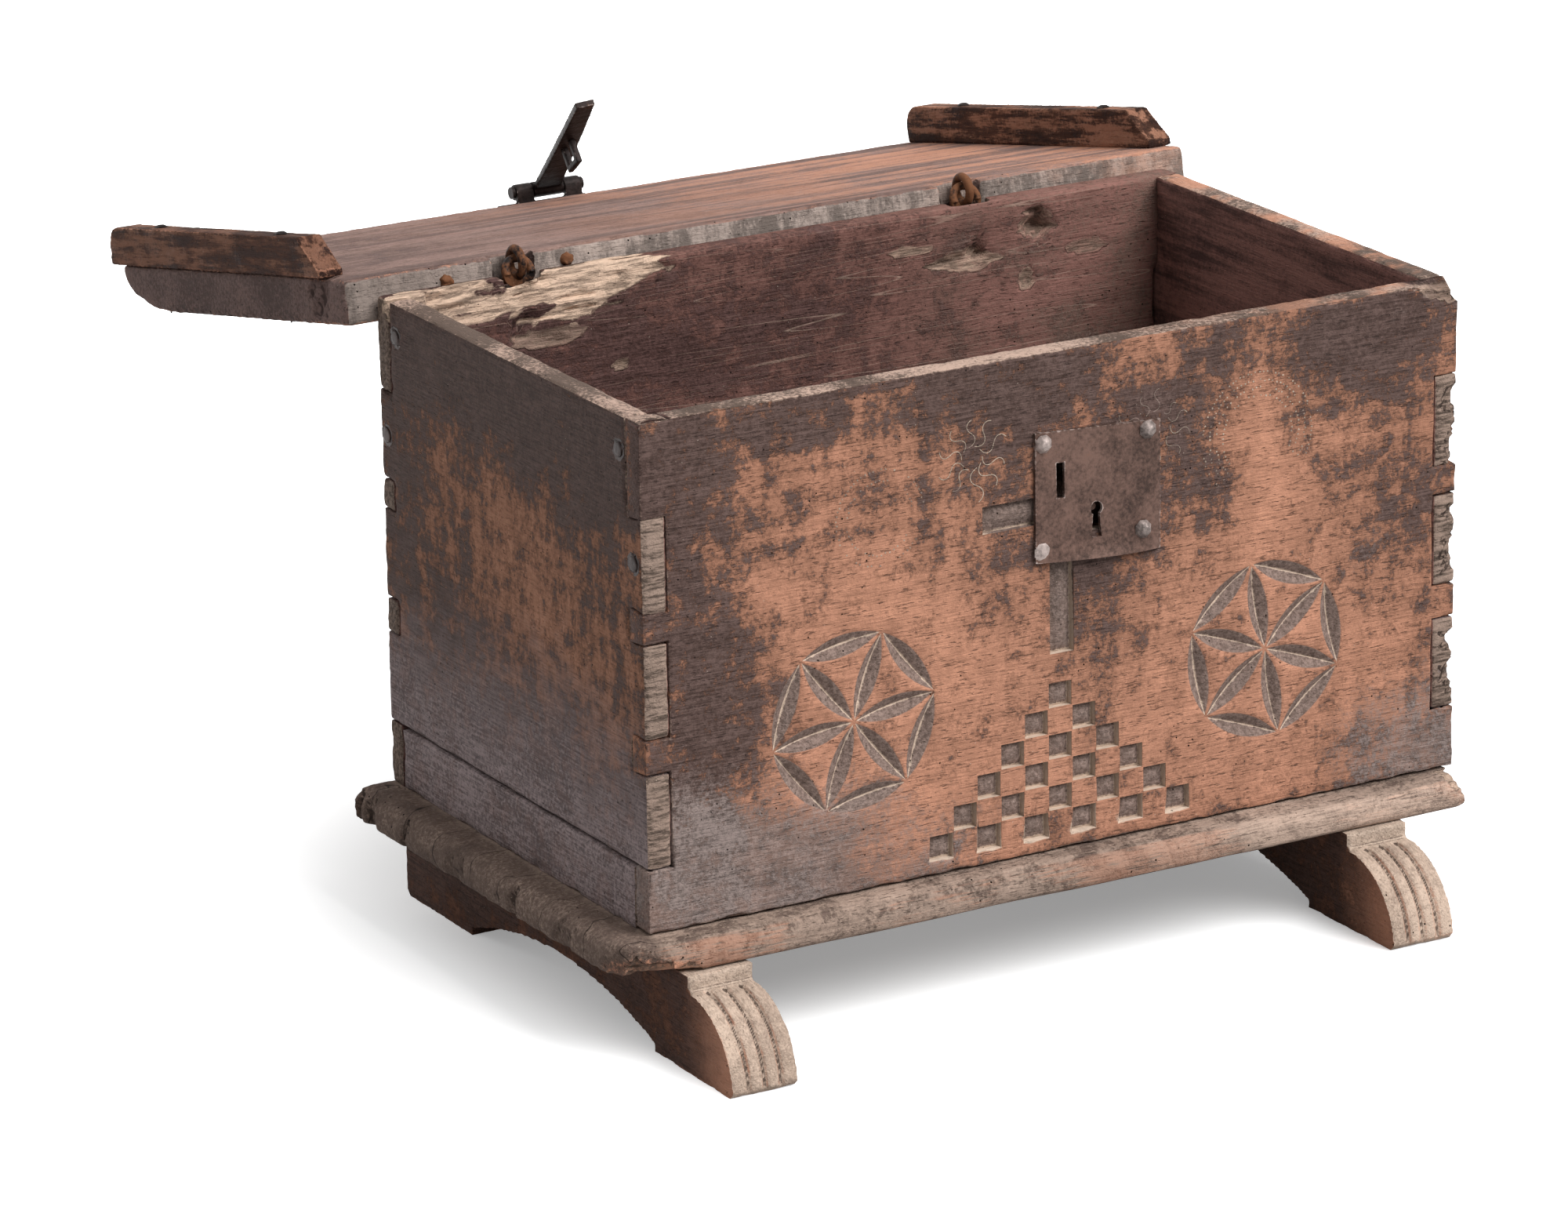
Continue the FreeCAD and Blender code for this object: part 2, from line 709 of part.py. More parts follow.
case_pieces = {
    "front_board": front,
    "back_board": back,
    "left_end_board": left_end,
    "right_end_board": right_end,
    "left_lower_strip": left_strip,
    "right_lower_strip": right_strip,
    "base_board": base,
    "left_runner_foot": feet[0],
    "right_runner_foot": feet[1],
    "foot_pegs": Part.makeCompound(pegs),
    "base_nails": Part.makeCompound(base_nails),
    "corner_nails": Part.makeCompound(corner_nails),
    "lock_plate": lock_plate().cut(plate_nails),
    "lock_plate_nails": Part.makeCompound(plate_nails),
    "lock_back_plate": cover,
    "lock_back_plate_nails": Part.makeCompound(cover_nails),
    "bolt_keepers": Part.makeCompound([keeper(place) for place in keeper_places]),
    "bolt_spring": bolt_spring(),
    "key_post": key_post,
    "left_wall_eye": wall_eyes[0],
    "right_wall_eye": wall_eyes[1],
    "lock_bolt": lock_bolt(),
}
lid_pieces = {
    "lid_board": lid,
    "left_cleat": cleats[0].cut(cleat_nails),
    "right_cleat": cleats[1].cut(cleat_nails),
    "cleat_nails": Part.makeCompound(cleat_nails),
    "left_lid_eye": lid_eyes[0],
    "right_lid_eye": lid_eyes[1],
    "hasp_plate": hasp_plate().cut(hasp_nails),
    "hasp_plate_nails": Part.makeCompound(hasp_nails),
    "hasp_pin": hasp_pin(),
    "hasp_strap": turned(hasp_strap(), pin_y, pin_z, hasp_lean),
    "hasp_staple": turned(hasp_staple(), pin_y, pin_z, hasp_lean),
}

os.makedirs("parts", exist_ok=True)
pieces = dict(case_pieces)
for name, shape in lid_pieces.items():
    pieces[name] = opened(shape)
for name, shape in pieces.items():
    shape.translate(Y * frame_y)
    shape.exportStep("parts/" + name + ".step")
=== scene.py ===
"""Looks of a small carved chest: worn dovetailed boards, runner feet, an open lid and forged iron."""

import math

import bmesh
import bpy
from bpy.props import FloatProperty, FloatVectorProperty, PointerProperty
from mathutils import Matrix, Quaternion, Vector, bvhtree, kdtree, noise


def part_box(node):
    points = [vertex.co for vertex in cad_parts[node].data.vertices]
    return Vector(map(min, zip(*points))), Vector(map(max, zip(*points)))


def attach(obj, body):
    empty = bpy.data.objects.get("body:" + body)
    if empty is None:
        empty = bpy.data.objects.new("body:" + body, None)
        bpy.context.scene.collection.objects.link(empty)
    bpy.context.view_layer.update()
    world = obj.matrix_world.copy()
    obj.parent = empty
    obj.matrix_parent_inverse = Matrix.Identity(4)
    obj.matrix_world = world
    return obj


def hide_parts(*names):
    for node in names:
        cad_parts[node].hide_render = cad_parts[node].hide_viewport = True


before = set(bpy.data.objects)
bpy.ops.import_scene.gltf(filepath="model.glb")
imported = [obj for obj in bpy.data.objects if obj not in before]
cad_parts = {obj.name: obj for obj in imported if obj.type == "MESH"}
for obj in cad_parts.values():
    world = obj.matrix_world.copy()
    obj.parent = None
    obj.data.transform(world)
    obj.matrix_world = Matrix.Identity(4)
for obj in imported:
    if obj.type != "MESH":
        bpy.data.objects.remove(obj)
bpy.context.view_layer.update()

bl_info = {
    "name": "Carved chest",
    "version": (1, 0, 0),
    "blender": (4, 5, 0),
    "location": "View3D > Sidebar > Chest",
    "description": "Dresses a carved chest in worn wood and forged iron",
    "category": "Object",
}

# Places read from the solids
FRONT_LOW, FRONT_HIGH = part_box("front_board")
BASE_LOW, BASE_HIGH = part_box("base_board")
LID_LOW, LID_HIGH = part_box("lid_board")
PLATE_LOW, PLATE_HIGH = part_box("lock_plate")
FRONT_FACE = FRONT_LOW.y
INNER_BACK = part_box("back_board")[0].y
TOE_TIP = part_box("left_runner_foot")[0].y
HALF = FRONT_HIGH.x
TOP = FRONT_HIGH.z
BASE_TOP = BASE_HIGH.z
HEIGHT = TOP - BASE_TOP
BOARD = FRONT_HIGH.y - FRONT_LOW.y
INNER_END = HALF - BOARD

# Slope of the open lid, down to the back
LID_SLOPE = math.radians(11.2)

# Directions of the grain
ALONG_X, ALONG_Y, ALONG_Z = 0, 1, 2


def colour(name, description, default):
    """Colour that a user can change."""
    return FloatVectorProperty(
        name=name, description=description, default=default, subtype="COLOR", size=3, min=0.0, max=1.0)


def size(name, description, default):
    """Length that a user can change."""
    return FloatProperty(
        name=name, description=description, default=default, subtype="DISTANCE", unit="LENGTH", min=0.0)


class ChestWood(bpy.types.PropertyGroup):
    """Colours of the wood."""
    front: colour("Front", "Bare wood of the carved front", (0.52, 0.255, 0.165))
    front_dark: colour("Front patina", "Dark skin left on the front", (0.074, 0.050, 0.045))
    front_dust: colour("Front dust", "Grey dust low on the front", (0.235, 0.188, 0.172))
    carving: colour("Carving", "Cut faces of the carving", (0.165, 0.122, 0.105))
    carving_pale: colour("Carving floor", "Pale floor of the cuts", (0.66, 0.52, 0.41))
    end: colour("Ends", "Bare wood of the end boards", (0.41, 0.205, 0.132))
    end_dark: colour("End patina", "Dark skin left on the end boards", (0.056, 0.038, 0.034))
    end_dust: colour("End dust", "Dull skin low on the end boards", (0.275, 0.218, 0.216))
    end_grain: colour("End grain", "Sawn ends of the boards", (0.31, 0.225, 0.180))
    inside: colour("Inside", "Wood inside the case", (0.255, 0.128, 0.106))
    inside_dark: colour("Inside patina", "Darkest wood inside the case", (0.072, 0.040, 0.036))
    torn: colour("Torn wood", "Fresh wood where a board is torn", (0.72, 0.52, 0.39))
    worn: colour("Worn edges", "Pale wood on worn edges", (0.46, 0.33, 0.26))
    fleck: colour("Flecks", "Pale specks caught in the grain", (0.50, 0.42, 0.35))
    worm: colour("Worm holes", "Inside of the worm holes", (0.006, 0.004, 0.003))
    rim: colour("Rim", "Handled top edges of the case", (0.32, 0.225, 0.180))
    base: colour("Base", "Weathered wood of the base board", (0.43, 0.315, 0.252))
    base_dark: colour("Base patina", "Dirt on the base board", (0.095, 0.066, 0.055))
    toe: colour("Toes", "Worn wood of the toes", (0.54, 0.42, 0.335))
    foot: colour("Feet", "Wood of the sides of the feet", (0.245, 0.118, 0.078))
    foot_dark: colour("Foot patina", "Dark skin on the feet", (0.060, 0.033, 0.026))
    lid: colour("Lid", "Wood of the lid", (0.300, 0.194, 0.165))
    lid_dark: colour("Lid patina", "Dark skin on the lid", (0.105, 0.070, 0.063))
    lid_edge: colour("Lid edge", "Sawn back edge of the lid", (0.375, 0.303, 0.265))
    cleat: colour("Cleats", "Wood of the cleats", (0.092, 0.042, 0.028))
    cleat_dark: colour("Cleat patina", "Dark skin on the cleats", (0.026, 0.014, 0.012))


class ChestIron(bpy.types.PropertyGroup):
    """Colours of the iron."""
    plate: colour("Plate", "Browned iron of the lock plate", (0.080, 0.047, 0.037))
    dark: colour("Dark iron", "Forged black of the hasp", (0.014, 0.009, 0.008))
    rust: colour("Rust", "Orange rust on the eyes", (0.19, 0.080, 0.038))
    # Pale colour of sharp iron edges, partly rubbed iron and partly a painted highlight.
    bright: colour("Rubbed iron", "Rubbed facets of the nail heads", (0.44, 0.36, 0.33))


class ChestWear(bpy.types.PropertyGroup):
    """Sizes of the wear."""
    ease: size("Eased edge", "Width of the eased edges of the front", 0.0010)
    cell: size("Cell", "Spacing of the cuts that let the front wear", 0.008)
    rim_cell: size("Rim cell", "Spacing of the cuts along the rim of the front", 0.0022)
    even: size("Even cell", "Spacing of the mesh of the boards", 0.0021)
    fine: size("Fine cell", "Spacing of the mesh of the small wooden pieces", 0.0010)
    iron: size("Iron cell", "Spacing of the mesh of the forged pieces", 0.0006)
    scratch: size("Scratch", "Half width of a scratched line", 0.00032)
    plate: size("Plate cell", "Spacing of the cuts in the lock plate", 0.0018)


class ChestStage(bpy.types.PropertyGroup):
    """Light and camera."""
    sun: FloatProperty(name="Sun", description="Strength of the soft sun", default=3.95)
    fill: FloatProperty(name="Fill", description="Strength of the light from behind", default=0.8)
    spread: FloatProperty(
        name="Spread", description="Softness of the sun", default=math.radians(42), subtype="ANGLE")
    sky: FloatProperty(name="Sky", description="Strength of the light all round", default=0.42)
    bounce: FloatProperty(name="Bounce", description="Share of light the floor gives back", default=0.35)
    glow: FloatProperty(name="Glow", description="Light of the floor itself where it is seen", default=0.28)
    glow_far: FloatProperty(name="Far glow", description="Light added to the floor far off", default=0.6)
    lens: FloatProperty(name="Lens", description="Focal length", default=169.14, unit="CAMERA")
    roll: FloatProperty(
        name="Roll", description="Tilt of the camera", default=math.radians(-0.949), subtype="ANGLE")
    eye: FloatVectorProperty(
        name="Eye", description="Place of the camera", default=(-1.8626, -3.25526, 1.3322),
        subtype="TRANSLATION", unit="LENGTH")
    target: FloatVectorProperty(
        name="Target", description="Point that the camera looks at", default=(0.0170, 0.0581, 0.1121),
        subtype="TRANSLATION", unit="LENGTH")
    sun_from: FloatVectorProperty(
        name="Sun from", description="Direction that the sun comes from", default=(0.34, -0.60, 0.72),
        subtype="DIRECTION")


class Finish:
    """Grows the nodes of one material; its methods take and give sockets or plain numbers."""

    def __init__(self, name, slope=0.0):
        self.slope = slope
        self.wood = bpy.context.scene.chest_wood
        self.material = bpy.data.materials.new(name)
        self.material.use_nodes = True
        self.tree = self.material.node_tree
        self.shader = self.tree.nodes["Principled BSDF"]
        texture = self.tree.nodes.new("ShaderNodeTexCoord")
        self.place = texture.outputs["Object"]
        self.x, self.y, self.z = self.split(texture.outputs["Object"])
        self.facing = self.split(texture.outputs["Normal"])

    def split(self, vector):
        """Three parts of a vector."""
        node = self.tree.nodes.new("ShaderNodeSeparateXYZ")
        self.tree.links.new(vector, node.inputs[0])
        return node.outputs

    def add(self, kind, out, inputs, **settings):
        """New node with its inputs linked or set; gives one of its outputs."""
        node = self.tree.nodes.new("ShaderNode" + kind)
        for key, value in settings.items():
            setattr(node, key, value)
        for key, value in inputs.items():
            if isinstance(value, bpy.types.NodeSocket):
                self.tree.links.new(value, node.inputs[key])
            else:
                node.inputs[key].default_value = value
        return node.outputs[out]

    def sum(self, operation, first, second=0.0):
        """Sum, product or other arithmetic of two values."""
        return self.add("Math", 0, {0: first, 1: second}, operation=operation)

    def plus(self, *values):
        """All the values added up."""
        total = values[0]
        for value in values[1:]:
            total = self.sum("ADD", total, value)
        return total

    def times(self, *values):
        """All the values multiplied."""
        total = values[0]
        for value in values[1:]:
            total = self.sum("MULTIPLY", total, value)
        return total

    def swing(self, value, amount):
        """A cloudy value turned into a swing about zero."""
        return self.times(self.plus(value, -0.5), amount)

    def ramp(self, value, low, high):
        """Smooth step from 0 at low to 1 at high."""
        limits = {"Value": value, "From Min": low, "From Max": high}
        return self.add("MapRange", 0, limits, interpolation_type="SMOOTHSTEP")

    def step(self, low, high, value, *swings):
        """Smooth step over a value that cloudy ones swing about, each given with its amount."""
        return self.ramp(self.plus(value, *[self.swing(*swing) for swing in swings]), low, high)

    def drawn(self, axis, squeeze):
        """Place on the piece, drawn out along an axis, or along the slope of a tilted piece."""
        stretch = [1.0, 1.0, 1.0]
        stretch[axis] = 1.0 / squeeze
        turn = (-self.slope, 0.0, 0.0)
        inputs = {"Vector": self.place, "Rotation": turn, "Scale": stretch}
        return self.add("Mapping", 0, inputs, vector_type="TEXTURE")

    def noise(self, scale, detail=4.0, rough=0.6, place=None, twist=0.0):
        """Cloudy value about one half."""
        return self.add("TexNoise", 0, {
            "Vector": place or self.place, "Scale": scale, "Detail": detail,
            "Roughness": rough, "Distortion": twist})

    def dots(self, scale, radius):
        """Scattered round dots, 1 inside and 0 outside."""
        distance = self.add("TexVoronoi", 0, {"Vector": self.place, "Scale": scale})
        return self.ramp(distance, radius, radius * 0.6)

    def lines(self, value, count, width):
        """Thin lines along the levels of a cloudy value."""
        level = self.sum("FRACT", self.times(value, count))
        return self.ramp(self.sum("ABSOLUTE", self.plus(level, -0.5)), width, 0.0)

    def patch(self, centre, reach):
        """Soft oval about a centre, 1 in the middle and 0 at its rim."""
        scale = [1.0 / r for r in reach]
        moved = self.add("Mapping", 0, {
            "Vector": self.place, "Scale": scale,
            "Location": [-c * s for c, s in zip(centre, scale)]})
        return self.add("TexGradient", 1, {"Vector": moved}, gradient_type="SPHERICAL")

    def patches(self, places):
        """Weighted sum of soft ovals."""
        return self.plus(*[self.times(self.patch(centre, reach), share) for centre, reach, share in places])

    def faces(self, axis, sign):
        """1 where the surface faces along an axis, 0 where it turns away."""
        return self.ramp(self.times(self.facing[axis], sign), 0.55, 0.8)

    def across(self, axis, low, high):
        """Smooth step over how far the surface faces along an axis, either way."""
        return self.ramp(self.sum("ABSOLUTE", self.facing[axis]), low, high)

    def mark(self, name):
        """Value that the mesh carries, such as how worn it is."""
        return self.add("Attribute", 2, {}, attribute_name=name)

    def mix(self, factor, first, second):
        """Colour between two colours."""
        def whole(value):
            return value if isinstance(value, bpy.types.NodeSocket) else (*value, 1.0)
        return self.add("Mix", 2, {0: factor, 6: whole(first), 7: whole(second)}, data_type="RGBA")

    def tones(self, factor, shade, low, high):
        """Colour between a darker and a lighter tone of one colour."""
        return self.mix(factor, tone(shade, low), tone(shade, high))

    def finish(self, shade, roughness, height, depth):
        """Joins colour, roughness and bump to the shader."""
        self.tree.links.new(shade, self.shader.inputs["Base Color"])
        self.tree.links.new(roughness, self.shader.inputs["Roughness"])
        bump = self.add("Bump", 0, {"Height": height, "Strength": 1.0, "Distance": depth})
        self.tree.links.new(bump, self.shader.inputs["Normal"])
        return self.material


def tone(shade, factor):
    """A colour made lighter or darker."""
    return [factor * part for part in shade]


def old_wood(
        name, axis, bare, dark, cover=0.0, field=None, over=None, rub=None, rub_share=0.7, holes=0.09,
        slope=0.0):
    """Wood with a broken dark skin, open grain, worm holes, worn edges and torn places."""
    f = Finish(name, slope)
    wood = f.wood
    f.shader.inputs["Specular IOR Level"].default_value = 0.04
    fibre = f.noise(900.0, 4.0, 0.65, f.drawn(axis, 0.05))
    band = f.noise(120.0, 5.0, 0.65, f.drawn(axis, 0.08))
    pore = f.ramp(f.noise(1200.0, 2.0, 0.5, f.drawn(axis, 0.14)), 0.39, 0.30)
    cloud = f.noise(12.0, 8.0, 0.70, twist=0.5)
    blotch = f.noise(75.0, 7.0, 0.75, twist=0.4)
    speck = f.noise(480.0, 5.0, 0.72)
    skin = f.plus(cover, f.swing(cloud, 3.2), f.swing(blotch, 3.6), f.swing(band, 1.2), f.swing(speck, 1.9))
    if field:
        skin = f.plus(skin, field(f))
    veil = f.ramp(skin, -0.75, 0.10)
    black = f.ramp(skin, -0.08, 0.42)
    shade = f.tones(f.ramp(blotch, 0.34, 0.66), bare, 0.74, 1.16)
    shade = f.mix(f.times(f.ramp(fibre, 0.52, 0.32), 0.5), shade, tone(bare, 0.38))
    shade = f.mix(f.times(veil, 0.80), shade, tone(bare, 0.42))
    worked = f.plus(f.times(speck, 0.4), f.times(fibre, 0.35), f.times(blotch, 0.25))
    skin_shade = f.tones(f.ramp(worked, 0.40, 0.62), dark, 0.55, 1.8)
    shade = f.mix(f.times(black, 0.94), shade, skin_shade)
    shade = f.mix(f.times(pore, 0.6), shade, tone(dark, 0.5))
    if over:
        shade = over(f, shade, cloud, speck, fibre)
    # Sunken spots darkened, partly for dirt that settles there and partly as painted shade where less light
    # reaches.
    hollow_dirt_and_shade = f.step(0.03, 0.13, f.mark("hollow_dirt_and_shade"), (speck, 0.05))
    shade = f.mix(f.times(hollow_dirt_and_shade, 0.8), shade, tone(dark, 0.45))
    worn = f.plus(f.mark("arris"), f.swing(speck, 1.2), f.swing(cloud, 2.2))
    shade = f.mix(f.times(f.ramp(worn, 0.85, 1.10), rub_share), shade, rub or wood.worn)
    splinter = f.noise(420.0, 5.0, 0.7, f.drawn(axis, 0.07))
    torn = f.step(0.25, 0.55, f.mark("torn"), (speck, 0.5))
    torn_shade = f.mix(f.ramp(splinter, 0.38, 0.60), tone(wood.torn, 0.35), wood.torn)
    shade = f.mix(f.times(torn, f.mark("fresh")), shade, torn_shade)
    fleck = f.times(f.dots(240.0, 0.075), f.ramp(f.noise(28.0, 3.0), 0.50, 0.60))
    shade = f.mix(f.times(fleck, 0.7), shade, wood.fleck)
    worm = f.times(f.dots(160.0, holes), f.ramp(f.noise(20.0, 3.0), 0.46, 0.58))
    shade = f.mix(worm, shade, wood.worm)
    rough = f.plus(0.70, f.times(black, -0.10), f.swing(speck, 0.3))
    height = f.plus(
        f.times(fibre, 0.50), f.times(speck, 0.50), f.times(band, 0.30), f.times(black, 0.14),
        f.times(pore, -0.30), f.times(worm, -2.0), f.times(torn, splinter, 1.4))
    return f.finish(shade, rough, height, 0.0012)


def front_point(part_x, part_z):
    """Place on the front, from parts of its half length and height."""
    return Vector((part_x * HALF, FRONT_FACE, BASE_TOP + part_z * HEIGHT))


def front_spot(part_x, part_z, reach_x, reach_z, share):
    """Patch on the front, from parts of its half length and height."""
    return front_point(part_x, part_z), (reach_x * HALF, 0.05, reach_z * HEIGHT), share


# Where the front has kept its dark skin, and where hands have rubbed it away
FRONT_SKIN = (
    front_spot(-0.98, 0.84, 0.36, 0.50, 0.7),
    front_spot(-0.17, 0.82, 0.22, 0.32, 0.75),
    front_spot(0.05, 0.93, 0.20, 0.18, 0.6),
    front_spot(0.34, 0.72, 0.16, 0.30, 0.3),
    front_spot(0.78, 0.92, 0.44, 0.28, 0.8),
    front_spot(0.84, 0.62, 0.18, 0.18, 0.4),
    front_spot(-0.44, 0.99, 0.66, 0.18, 0.6),
    front_spot(-0.82, 0.36, 0.22, 0.30, 0.75),
    front_spot(0.06, 0.52, 0.16, 0.28, 0.5),
    front_spot(1.00, 0.40, 0.14, 0.60, 0.2),
    front_spot(-0.46, 0.64, 0.46, 0.42, -0.6),
    front_spot(0.62, 0.42, 0.44, 0.46, -0.8),
    front_spot(0.49, 0.73, 0.12, 0.30, -0.5),
    front_spot(0.0, 0.20, 0.55, 0.34, -0.8),
    front_spot(-0.48, 0.34, 0.36, 0.34, -0.6),
    front_spot(0.24, 0.97, 0.10, 0.12, -0.3),
)
FRONT_DUST = (
    front_spot(-0.78, 0.02, 0.72, 0.34, 1.5),
    front_spot(0.94, 0.05, 0.38, 0.30, 0.85),
)


def front_field(f):
    """Skin kept on the front, in streaks that run down it."""
    streak = f.noise(70.0, 3.0, 0.6, f.drawn(ALONG_Z, 0.16))
    return f.plus(f.patches(FRONT_SKIN), f.swing(streak, 1.3))


def front_over(f, shade, cloud, speck, fibre):
    """Dust low on the front, the cut carving, the handled rim and the dark inner face."""
    wood = f.wood
    dusty = f.step(0.20, 0.80, f.patches(FRONT_DUST), (speck, 0.8), (cloud, 1.6))
    grime = f.step(0.32, 0.70, speck, (fibre, 0.6), (cloud, 0.8))
    dust = f.tones(grime, wood.front_dust, 0.55, 1.35)
    shade = f.mix(f.times(dusty, 0.8), shade, dust)
    depth = f.plus(f.y, -FRONT_FACE)
    within = f.times(
        f.ramp(f.sum("ABSOLUTE", f.x), INNER_END - 0.002, INNER_END - 0.004),
        f.ramp(f.z, TOP - 0.004, TOP - 0.006))
    cut = f.times(f.ramp(depth, 0.00015, 0.0005), f.ramp(depth, 0.0065, 0.0055), within)
    cut_shade = f.tones(f.ramp(speck, 0.34, 0.66), wood.carving, 0.7, 1.7)
    crease = f.step(0.74, 0.96, f.mark("crease"), (speck, 0.5), (cloud, 0.6))
    cut_shade = f.mix(f.times(crease, 0.85), cut_shade, wood.carving_pale)
    shade = f.mix(f.times(cut, 0.95), shade, cut_shade)
    shade = f.mix(f.faces(ALONG_Y, 1.0), shade, inside_shade(f, ALONG_X, cloud, speck))
    return rim_over(f, shade, cloud, speck)


def inside_shade(f, axis, cloud, speck):
    """Dark reddish wood inside the case, streaked along the grain."""
    wood = f.wood
    streak = f.noise(130.0, 5.0, 0.7, f.drawn(axis, 0.07))
    kept = f.plus(streak, f.swing(cloud, 0.5), f.swing(speck, 0.4))
    return f.mix(f.ramp(kept, 0.34, 0.66), wood.inside_dark, wood.inside)


# Where hands have rubbed the top edges pale
RIM_RUBBED = (
    ((-HALF + BOARD / 2, FRONT_FACE + 0.030, TOP), (0.02, 0.060, 0.02), 0.16),
    ((-0.02, FRONT_FACE + BOARD / 2, TOP), (0.16, 0.02, 0.02), 0.10),
    ((HALF, -0.12, TOP), (0.03, 0.12, 0.02), 0.10),
)


def rim_over(f, shade, cloud, speck):
    """Handled top edge of a board, brown with pale streaks, and orange where it is rubbed to the right."""
    wood = f.wood
    upper = f.times(f.faces(ALONG_Z, 1.0), f.ramp(f.z, TOP - 0.004, TOP - 0.002))
    rubbed = f.plus(cloud, f.swing(speck, 0.7), f.patches(RIM_RUBBED))
    rim = f.tones(f.ramp(rubbed, 0.48, 0.68), wood.rim, 0.34, 1.45)
    bare = f.times(f.ramp(f.x, 0.0, HALF), f.ramp(f.noise(24.0, 4.0), 0.46, 0.60))
    return f.mix(upper, shade, f.mix(f.times(bare, 0.8), rim, wood.front))


# Where the end boards are rubbed bare
END_BARE = (
    ((-HALF, -0.150, BASE_TOP + 0.62 * HEIGHT), (0.05, 0.080, 0.36 * HEIGHT), -0.6),
    ((-HALF, -0.050, BASE_TOP + 0.72 * HEIGHT), (0.05, 0.050, 0.26 * HEIGHT), -0.5),
    ((-HALF, -0.215, BASE_TOP + 0.40 * HEIGHT), (0.05, 0.035, 0.32 * HEIGHT), -0.5),
)


def end_field(f):
    """Dark skin near the top of an end board, rubbed bare in streaks in the middle."""
    streak = f.noise(60.0, 4.0, 0.65, f.drawn(ALONG_Z, 0.20))
    high = f.ramp(f.z, TOP - 0.075, TOP - 0.015)
    fleck = f.noise(230.0, 4.0, 0.7, f.drawn(ALONG_Z, 0.45))
    return f.plus(f.times(high, 0.9), f.swing(streak, 1.8), f.swing(fleck, 1.6), f.patches(END_BARE))


def end_over(f, shade, cloud, speck, fibre):
    """Sawn end grain on the tails, a dull skin low down, a handled rim and a dark inner face."""
    wood = f.wood
    low = f.step(BASE_TOP + 0.125, BASE_TOP + 0.04, f.z, (cloud, 0.24), (speck, 0.08))
    grime = f.step(0.32, 0.68, speck, (fibre, 0.7), (cloud, 0.8))
    dust = f.tones(grime, wood.end_dust, 0.45, 1.3)
    shade = f.mix(f.times(low, 0.85), shade, dust)
    saw = f.noise(520.0, 4.0, 0.7, f.drawn(ALONG_X, 0.12))
    sawn = f.tones(f.ramp(saw, 0.36, 0.60), wood.end_grain, 0.28, 1.1)
    shade = f.mix(f.across(ALONG_Y, 0.55, 0.8), shade, sawn)
    inner = f.ramp(f.sum("ABSOLUTE", f.x), INNER_END + 0.0012, INNER_END + 0.0006)
    shade = f.mix(inner, shade, inside_shade(f, ALONG_Y, cloud, speck))
    return rim_over(f, shade, cloud, speck)


def weathered(f, cloud, speck, fibre):
    """Plain outer face that has kept most of its dark skin, rubbed bare in long streaks."""
    wood = f.wood
    streak = f.noise(110.0, 5.0, 0.7, f.drawn(ALONG_X, 0.10))
    blotch = f.noise(60.0, 6.0, 0.72, twist=0.4)
    rubbed = f.plus(cloud, f.swing(streak, 0.45), f.swing(blotch, 0.65), f.swing(speck, 0.45))
    dark = f.tones(f.step(0.34, 0.66, speck, (fibre, 0.9)), wood.end_dark, 0.6, 2.1)
    bare = f.mix(f.step(0.36, 0.60, fibre, (speck, 0.5)), tone(wood.end, 0.45), wood.end)
    return f.mix(f.ramp(rubbed, 0.47, 0.66), dark, bare)


def back_field(f):
    """Darker wood to the left inside the case, paler to the right."""
    return f.plus(f.times(f.ramp(f.x, 0.20, -0.12), 0.7), -0.35)


def back_over(f, shade, cloud, speck, fibre):
    """Pale scratches along the inner face, a weathered outer face and sawn ends."""
    wood = f.wood
    wander = f.noise(26.0, 2.0, 0.5, f.drawn(ALONG_X, 0.035))
    broken = f.ramp(f.noise(30.0, 4.0, 0.7, f.drawn(ALONG_X, 0.3)), 0.38, 0.52)
    scratch = f.times(f.lines(wander, 26.0, 0.045), broken)
    shade = f.mix(f.times(scratch, 0.6), shade, tone(wood.worn, 0.8))
    grey = f.times(f.ramp(f.x, 0.02, 0.20), f.step(0.40, 0.66, cloud, (speck, 0.8)))
    shade = f.mix(f.times(grey, 0.45), shade, tone(wood.worn, 0.55))
    shade = f.mix(f.faces(ALONG_Y, 1.0), shade, weathered(f, cloud, speck, fibre))
    sawn = f.tones(f.ramp(speck, 0.36, 0.64), wood.end_grain, 0.22, 0.75)
    return f.mix(f.across(ALONG_X, 0.6, 0.85), shade, sawn)


def base_over(f, shade, cloud, speck, fibre):
    """Reddish bare wood on the front of the base, paler to the right, and cracks across its left nose."""
    wood = f.wood
    ahead = f.faces(ALONG_Y, -1.0)
    red = f.step(0.50, 0.62, f.noise(11.0, 5.0, 0.65), (fibre, 0.6))
    shade = f.mix(f.times(ahead, red, 0.55), shade, tone(wood.front, 0.8))
    pale = f.times(ahead, f.ramp(f.x, -0.05, HALF), f.step(0.34, 0.60, speck, (fibre, 0.6)))
    shade = f.mix(f.times(pale, 0.6), shade, tone(wood.base, 1.6))
    broken = f.patch((BASE_LOW.x + 0.012, BASE_LOW.y + 0.004, BASE_LOW.z + 0.003), (0.045, 0.03, 0.011))
    shade = f.mix(f.step(0.25, 0.55, broken, (speck, 0.8)), shade, wood.front)
    crack = f.lines(f.plus(f.times(f.y, 24.0), f.swing(f.noise(9.0, 4.0, 0.6), 3.0)), 1.0, 0.016)
    nose = f.ramp(f.x, -HALF + 0.004, -HALF - 0.004)
    shade = f.mix(f.times(nose, f.ramp(speck, 0.72, 0.42), 0.92), shade, wood.base_dark)
    return f.mix(f.times(crack, nose, 0.9), shade, tone(wood.base_dark, 0.12))


